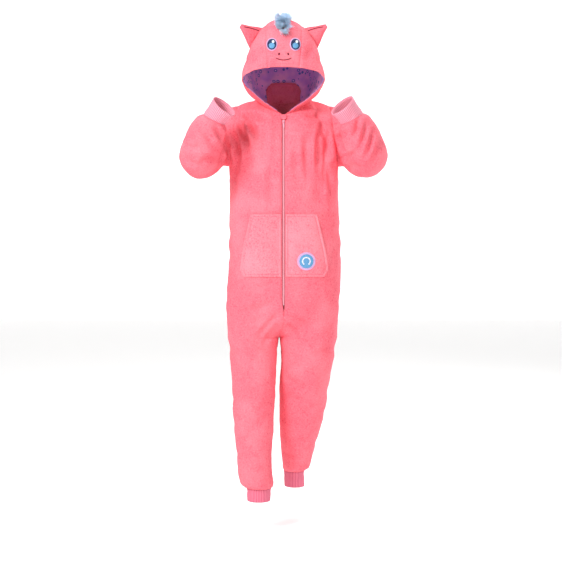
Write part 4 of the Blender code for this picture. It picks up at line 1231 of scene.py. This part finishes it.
@dataclass
class Finishes:
    """Every finish of the costume, mixed once."""

    paint: Paint = field(default_factory=Paint)

    def __post_init__(self) -> None:
        """Mix them."""
        paint = self.paint
        # Each pile takes a base colour, then a darker one of painted shade and a lighter one of
        # painted highlight.
        self.plush = paint.pile("pink_plush", tint(248, 112, 128), tint(228, 80, 102),
                                tint(255, 146, 158), clumps=175.0, sheen=0.20)
        # The pockets are the body's plush painted lighter, a painted-light copy of the same cloth,
        # with its own painted shade and highlight.
        self.pocket = paint.pile("pink_plush_painted_lighter", tint(250, 128, 142), tint(232, 92, 114),
                                 tint(255, 158, 170), clumps=175.0, sheen=0.20)
        # Each rib's darker colour is painted shade between its ribs.
        self.wrist = paint.rib("pale_pink_rib", tint(252, 168, 186), tint(226, 116, 142), 46.0)
        self.ankle = paint.rib("pink_rib_knit", tint(246, 132, 156), tint(212, 88, 118), 44.0)
        self.jersey = paint.printed("spotted_jersey")
        self.tape = paint.embroidery("woven_zip_tape", tint(255, 164, 180), tint(240, 130, 152),
                                     900.0)
        self.teeth = paint.moulded("zip_coil_nylon", tint(255, 188, 200), tint(246, 164, 180),
                                   0.0, 0.42)
        self.metal = paint.moulded("painted_zip_metal", tint(250, 170, 190), tint(214, 170, 180),
                                   0.25, 0.34)
        self.seam = paint.embroidery("pink_sewing_thread", tint(214, 84, 116), tint(176, 52, 88),
                                     1200.0)
        self.maroon = paint.embroidery("maroon_satin_thread", tint(118, 16, 44), tint(74, 6, 24),
                                       800.0)
        self.lilac = paint.embroidery("lilac_satin_thread", tint(226, 186, 222),
                                      tint(190, 146, 196), 700.0)
        self.navy = paint.embroidery("navy_satin_thread", tint(24, 44, 92), tint(12, 24, 58),
                                     700.0)
        self.blue = paint.embroidery("blue_satin_thread", tint(112, 172, 212), tint(74, 132, 184),
                                     700.0)
        self.white = paint.embroidery("white_satin_thread", tint(248, 248, 250),
                                      tint(206, 210, 222), 700.0)
        # The fur's darker and lighter colours are painted shade and painted highlight as well.
        self.fur = paint.pile("blue_long_pile", tint(204, 232, 255), tint(176, 216, 255),
                              tint(234, 245, 255), clumps=420.0, depth=0.0004, sheen=0.5)
        shader = self.fur.node_tree.nodes["Principled BSDF"]
        shader.inputs["Subsurface Weight"].default_value = 0.1
        shader.inputs["Subsurface Scale"].default_value = 0.012
        shader.inputs["Subsurface Radius"].default_value = (0.8, 0.9, 1.0)


BODY_PIECES = [f"{name}_{side}" for name in ("front", "back", "sleeve", "cuff", "ankle_cuff")
               for side in ("right", "left")]
HOOD_PIECES = ["hood_right", "hood_centre", "hood_left"]


def cut_list() -> list[Cut]:
    """List every cloth piece with its flat size, in the order of sewing."""
    rows = []
    for side in ("right", "left"):
        front = f"front_{side}"
        rows += [
            Cut(front, Knit.FLEECE, (0.42, 1.41), 0.352, cuts=6),
            Cut(f"back_{side}", Knit.FLEECE, (0.42, 1.42), 0.352, cuts=6, rests_on=(front,)),
            Cut(f"sleeve_{side}", Knit.FLEECE, (0.46, 0.52), 0.171, cuts=6, rests_on=(front,)),
            Cut(f"cuff_{side}", Knit.RIB, (0.22, 0.075), 0.0160, 0.0030, 5,
                (f"sleeve_{side}",)),
            Cut(f"ankle_cuff_{side}", Knit.RIB, (0.25, 0.058), 0.0137, 0.0030, 5, (front,)),
            Cut(f"hood_{side}", Knit.FLEECE, (0.30, 0.36), 0.084, cuts=9, rests_on=(front,)),
            Cut(f"ear_front_{side}", Knit.FLEECE, (0.075, 0.085), 0.0036, 0.0015, 5,
                (f"hood_{side}",), Look.FRONT),
            Cut(f"ear_back_{side}", Knit.FLEECE, (0.075, 0.085), 0.0038, 0.0015, 5,
                (f"hood_{side}",), Look.BACK),
            Cut(f"pocket_{side}", Knit.FLEECE, (0.155, 0.228), 0.0320, 0.0025, 8, (front,),
                Look.FRONT),
            Cut(f"zip_tape_{side}", Knit.JERSEY, (0.0136, 0.668), 0.0089, 0.0008, 2, (front,),
                Look.FRONT),
        ]
    rows += [
        Cut("hood_centre", Knit.FLEECE, (0.135, 0.60), 0.076, cuts=9, rests_on=("hood_right",)),
        Cut("hood_lining", Knit.JERSEY, (0.60, 0.42), 0.210, 0.0010, 5, ("hood_centre",)),
        Cut("zip_guard", Knit.FLEECE, (0.021, 0.025), 0.00050, 0.0030, 4, ("front_left",),
            Look.FRONT),
    ]
    return rows


@dataclass
class Costume:
    """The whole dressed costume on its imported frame."""

    nodes: dict[str, Piece]
    finishes: Finishes
    cloth: Cloth
    trim: Trimming

    def sew(self) -> None:
        """Dress every cloth piece."""
        done = self.finishes
        others = (("cuff", done.wrist, "pink_rib"), ("ankle", done.ankle, "pink_rib"),
                  ("pocket", done.pocket, "pink_fleece"), ("zip_tape", done.tape, "zip_tape"),
                  ("hood_lining", done.jersey, "printed_jersey"))
        self.cloth.take(BODY_PIECES + HOOD_PIECES)
        for cut in self.cloth.cuts:
            finish, slot = done.plush, "pink_fleece"
            for start, other, its_slot in others:
                if cut.node.startswith(start):
                    finish, slot = other, its_slot
            piece = self.cloth.dress(cut, finish)
            if cut.knit is Knit.RIB:
                around_map(piece, self.cloth.outer[cut.node][0])

    def close_zip(self, bottom: float = 0.829, top: float = 1.474) -> None:
        """Put the teeth in the zip, finish its slider and pull, and stitch beside it.

        Args:
            bottom: The height of the lowest tooth.
            top: The height of the highest tooth, under the slider.
        """
        coil = self.nodes["zip_coil"].data
        points = np.array([v.co for v in coil.vertices])
        points = self.cloth.form(points, np.tile([0.0, -1.0, 0.0], (len(points), 1)))
        tree = BVHTree.FromPolygons([tuple(p) for p in points],
                                    [p.vertices[:] for p in coil.polygons])
        teeth = self.trim.teeth(tree, bottom, top, self.finishes.teeth)
        for name in ("zip_slider", "pull_tab"):
            for place in self.nodes[name].material_slots:
                place.material = self.finishes.metal
        rows = [in_front([(side * 0.0125, height) for height in np.linspace(0.800, 1.480, 60)])
                for side in (-1, 1)]
        tree = self.cloth.surface("front_right", "front_left")
        self.trim.stitches("zip_topstitch", tree, rows, self.finishes.seam, radius=0.00042,
                           seen=True)

    def sew_pockets(self) -> None:
        """Stitch the pockets down, about a centimetre inside their edges."""
        shapes = {
            "pocket_right": [(-0.016, 1.145), (-0.108, 1.145), (-0.122, 1.09), (-0.137, 1.02),
                             (-0.142, 0.99), (-0.138, 0.938), (-0.016, 0.938)],
            "pocket_left": [(0.016, 1.145), (0.110, 1.145), (0.125, 1.09), (0.141, 1.02),
                            (0.146, 0.99), (0.142, 0.938), (0.016, 0.938)],
        }
        for node, corners in shapes.items():
            self.trim.stitches(f"{node}_topstitch", self.cloth.surface(node),
                               [in_front(corners)], self.finishes.seam, seen=True)

    def hem_hood(self) -> None:
        """Stitch the hood's hem beside the face opening."""
        for node in HOOD_PIECES:
            rows = [path for path in rim_rows(self.cloth, node, 0.012)
                    if path[:, 1].min() < -0.05]
            if rows:
                self.trim.stitches(f"{node}_hem", self.cloth.surface(node), rows,
                                   self.finishes.seam, pitch=0.0052)

    def face(self, eye_x: float = 0.041, eye_height: float = 1.750) -> None:
        """Embroider a plain pony face on the hood: eyes, nostrils and mouth.

        Args:
            eye_x: The eyes' distance from the middle.
            eye_height: Their height above the floor.
        """
        tree = self.cloth.surface(*HOOD_PIECES)
        done = self.finishes
        for side, name in ((-1, "right"), (1, "left")):
            x = side * eye_x
            layers = [
                ("rim", (x, eye_height), (0.0195, 0.0240), 0.0013, done.lilac),
                ("ball", (x, eye_height - 0.0005), (0.0160, 0.0202), 0.0021, done.navy),
                ("iris", (x, eye_height - 0.0060), (0.0102, 0.0106), 0.0028, done.blue),
                ("glint", (x + 0.0048, eye_height + 0.0085), (0.0046, 0.0052), 0.0030,
                 done.white),
            ]
            for label, centre, size, lift, finish in layers:
                self.trim.applique(f"eye_{label}_{name}", tree, centre, size, lift, finish)
            self.trim.applique(f"nostril_{name}", tree, (side * 0.016, 1.714),
                               (0.0030, 0.0046), 0.0015, done.maroon, turn=side * 0.35,
                               rings=4, sides=24)
        mouth = in_front([(x, 1.6925 + 9.5 * x * x) for x in np.linspace(-0.028, 0.028, 15)])
        self.trim.band("mouth_line", tree, mouth, 0.0034, 0.0016, done.maroon)
        for side, name in ((-1, "right"), (1, "left")):
            line = in_front([(side * 0.088, 1.816), (side * 0.118, 1.824), (side * 0.143, 1.828)])
            self.trim.band(f"ear_line_{name}", self.cloth.surface(f"ear_front_{name}"), line,
                           0.0034, 0.0022, done.maroon)

    def patch(self, x: float = 0.081, height: float = 0.986, radius: float = 0.032,
              shoe: float = 0.0135) -> None:
        """Sew the round embroidered patch, with a plain horseshoe, on the left pocket.

        Args:
            x: Its middle across.
            height: Its middle's height above the floor.
            radius: Its radius.
            shoe: The horseshoe's radius.
        """
        tree = self.cloth.surface("pocket_left")
        done = self.finishes
        ground = self.trim.applique("patch_ground", tree, (x, height), (radius, radius), 0.0014,
                                    done.lilac, dome=0.0003, rings=14, sides=64)
        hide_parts("patch")
        self.trim.applique("patch_field", tree, (x, height), (0.025, 0.025), 0.0021, done.blue,
                           dome=0.0003, rings=12, sides=56)

        def ring(size: float, start: float, end: float, count: int) -> Array:
            """Give points around the patch's middle."""
            return in_front([(x + size * math.cos(t), height + size * math.sin(t))
                             for t in np.linspace(start, end, count)])

        top = self.raised(0.0021)
        self.trim.band("patch_edge", tree, ring(radius - 0.0012, 0, 2 * math.pi, 80), 0.0036,
                       0.0026, done.lilac)
        self.trim.band("patch_horseshoe", top, ring(shoe, -1.05, math.pi + 1.05, 50), 0.0052,
                       0.0010, done.white)
        top_nails = self.raised(0.0030)
        for n, turn in enumerate(np.linspace(-0.55, math.pi + 0.55, 6)):
            spot = (x + shoe * math.cos(turn), height + shoe * math.sin(turn))
            self.trim.applique(f"patch_nail_{n}", top_nails, spot, (0.0010, 0.0010), 0.0002,
                               done.navy, dome=0.0002, rings=2, sides=12)

    def raised(self, lift: float) -> BVHTree:
        """Give the pocket's face moved out by a height, to lay the next layer on."""
        points, faces = self.cloth.outer["pocket_left"]
        out = points + Face.own_normals(points, faces) * lift
        return BVHTree.FromPolygons([tuple(p) for p in out], faces.tolist())


@dataclass(frozen=True)
class Studio:
    """A pale floor, soft lights and the photograph's camera."""

    camera_place: Triple = (-0.0092, -4.5, -0.41)
    tilt_down: float = 3.086
    lens: float = 78.4
    sensor: float = 36.0

    def build(self) -> None:
        """Set the studio up."""
        self.plane("studio_floor", 24.0, (0.0, 0.0, -SHOULDERS), 0.0, "pale_paper", 0.9, 0.18)
        self.plane("studio_wall", 30.0, (0.0, 9.0, 0.0), math.pi / 2, "lit_wall", 0.5, 0.52)
        world = bpy.data.worlds.new("studio_air")
        world.use_nodes = True
        air = world.node_tree.nodes["Background"]
        air.inputs["Color"].default_value = (1.0, 0.985, 0.975, 1.0)
        air.inputs["Strength"].default_value = 0.50
        bpy.context.scene.world = world
        for name, place, aim, size, power in (
                ("key_light", (-2.4, -3.2, 1.9), (0.0, 0.0, -0.5), 1.2, 176.0),
                ("fill_light", (3.0, -2.8, 0.4), (0.0, 0.0, -0.6), 2.4, 26.0),
                ("back_light", (2.6, 2.2, 1.4), (0.0, 0.0, -0.5), 1.0, 62.0),
                ("top_light", (0.3, 0.6, 2.6), (0.0, 0.0, -0.3), 1.8, 40.0)):
            self.lamp(name, place, aim, size, power)
        data = bpy.data.cameras.new("photo_camera")
        data.lens = self.lens
        data.sensor_width = self.sensor
        camera = bpy.data.objects.new("photo_camera", data)
        camera.location = self.camera_place
        camera.rotation_euler = (math.radians(90.0 - self.tilt_down), 0.0, 0.0)
        bpy.context.scene.collection.objects.link(camera)
        bpy.context.scene.camera = camera
        bpy.context.scene.view_settings.view_transform = "Standard"

    @staticmethod
    def plane(name: str, size: float, place: Triple, turn: float, finish: str, rough: float,
              glow: float) -> None:
        """Set up one plane of pale paper that is lit a little by itself.

        Args:
            name: Its name.
            size: The length of its sides.
            place: Its middle.
            turn: Its turn about the x axis, in radians.
            finish: Its material's name.
            rough: The paper's roughness.
            glow: The strength of its own light.
        """
        bpy.ops.mesh.primitive_plane_add(size=size, location=place, rotation=(turn, 0.0, 0.0))
        made = bpy.context.active_object
        made.name = name
        bpy.ops.object.transform_apply(location=True, rotation=True)
        paper, graph, shader = Graph.blank(finish)
        graph.fill(shader, {
            "Base Color": (0.9, 0.9, 0.9, 1.0), "Roughness": rough,
            "Emission Color": (1.0, 1.0, 1.0, 1.0), "Emission Strength": glow})
        made.data.materials.append(paper)

    @staticmethod
    def lamp(name: str, place: Triple, aim: Triple,
             size: float, power: float) -> None:
        """Hang one soft light.

        Args:
            name: Its name.
            place: Where it hangs.
            aim: What it points at.
            size: The side of its square panel.
            power: Its power in watts.
        """
        data = bpy.data.lights.new(name, "AREA")
        data.shape = "SQUARE"
        data.size = size
        data.energy = power
        made = bpy.data.objects.new(name, data)
        made.location = place
        way = Vector(aim) - Vector(place)
        made.rotation_euler = way.to_track_quat("-Z", "Y").to_euler()
        bpy.context.scene.collection.objects.link(made)


def main() -> None:
    """Load the frame, dress it and set the studio up."""
    logging.basicConfig(level=logging.INFO, format="%(name)s: %(message)s")
    for old in list(bpy.data.objects):
        bpy.data.objects.remove(old, do_unlink=True)
    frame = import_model()
    Studio().build()
    costume = Costume(frame["nodes"], Finishes(), Cloth(frame["nodes"], cut_list()), Trimming())
    costume.sew()
    costume.close_zip()
    costume.sew_pockets()
    costume.hem_hood()
    costume.face()
    costume.patch()
    costume.trim.fur(costume.cloth.surface(*HOOD_PIECES), costume.finishes.fur)


if __name__ == "__main__":
    main()
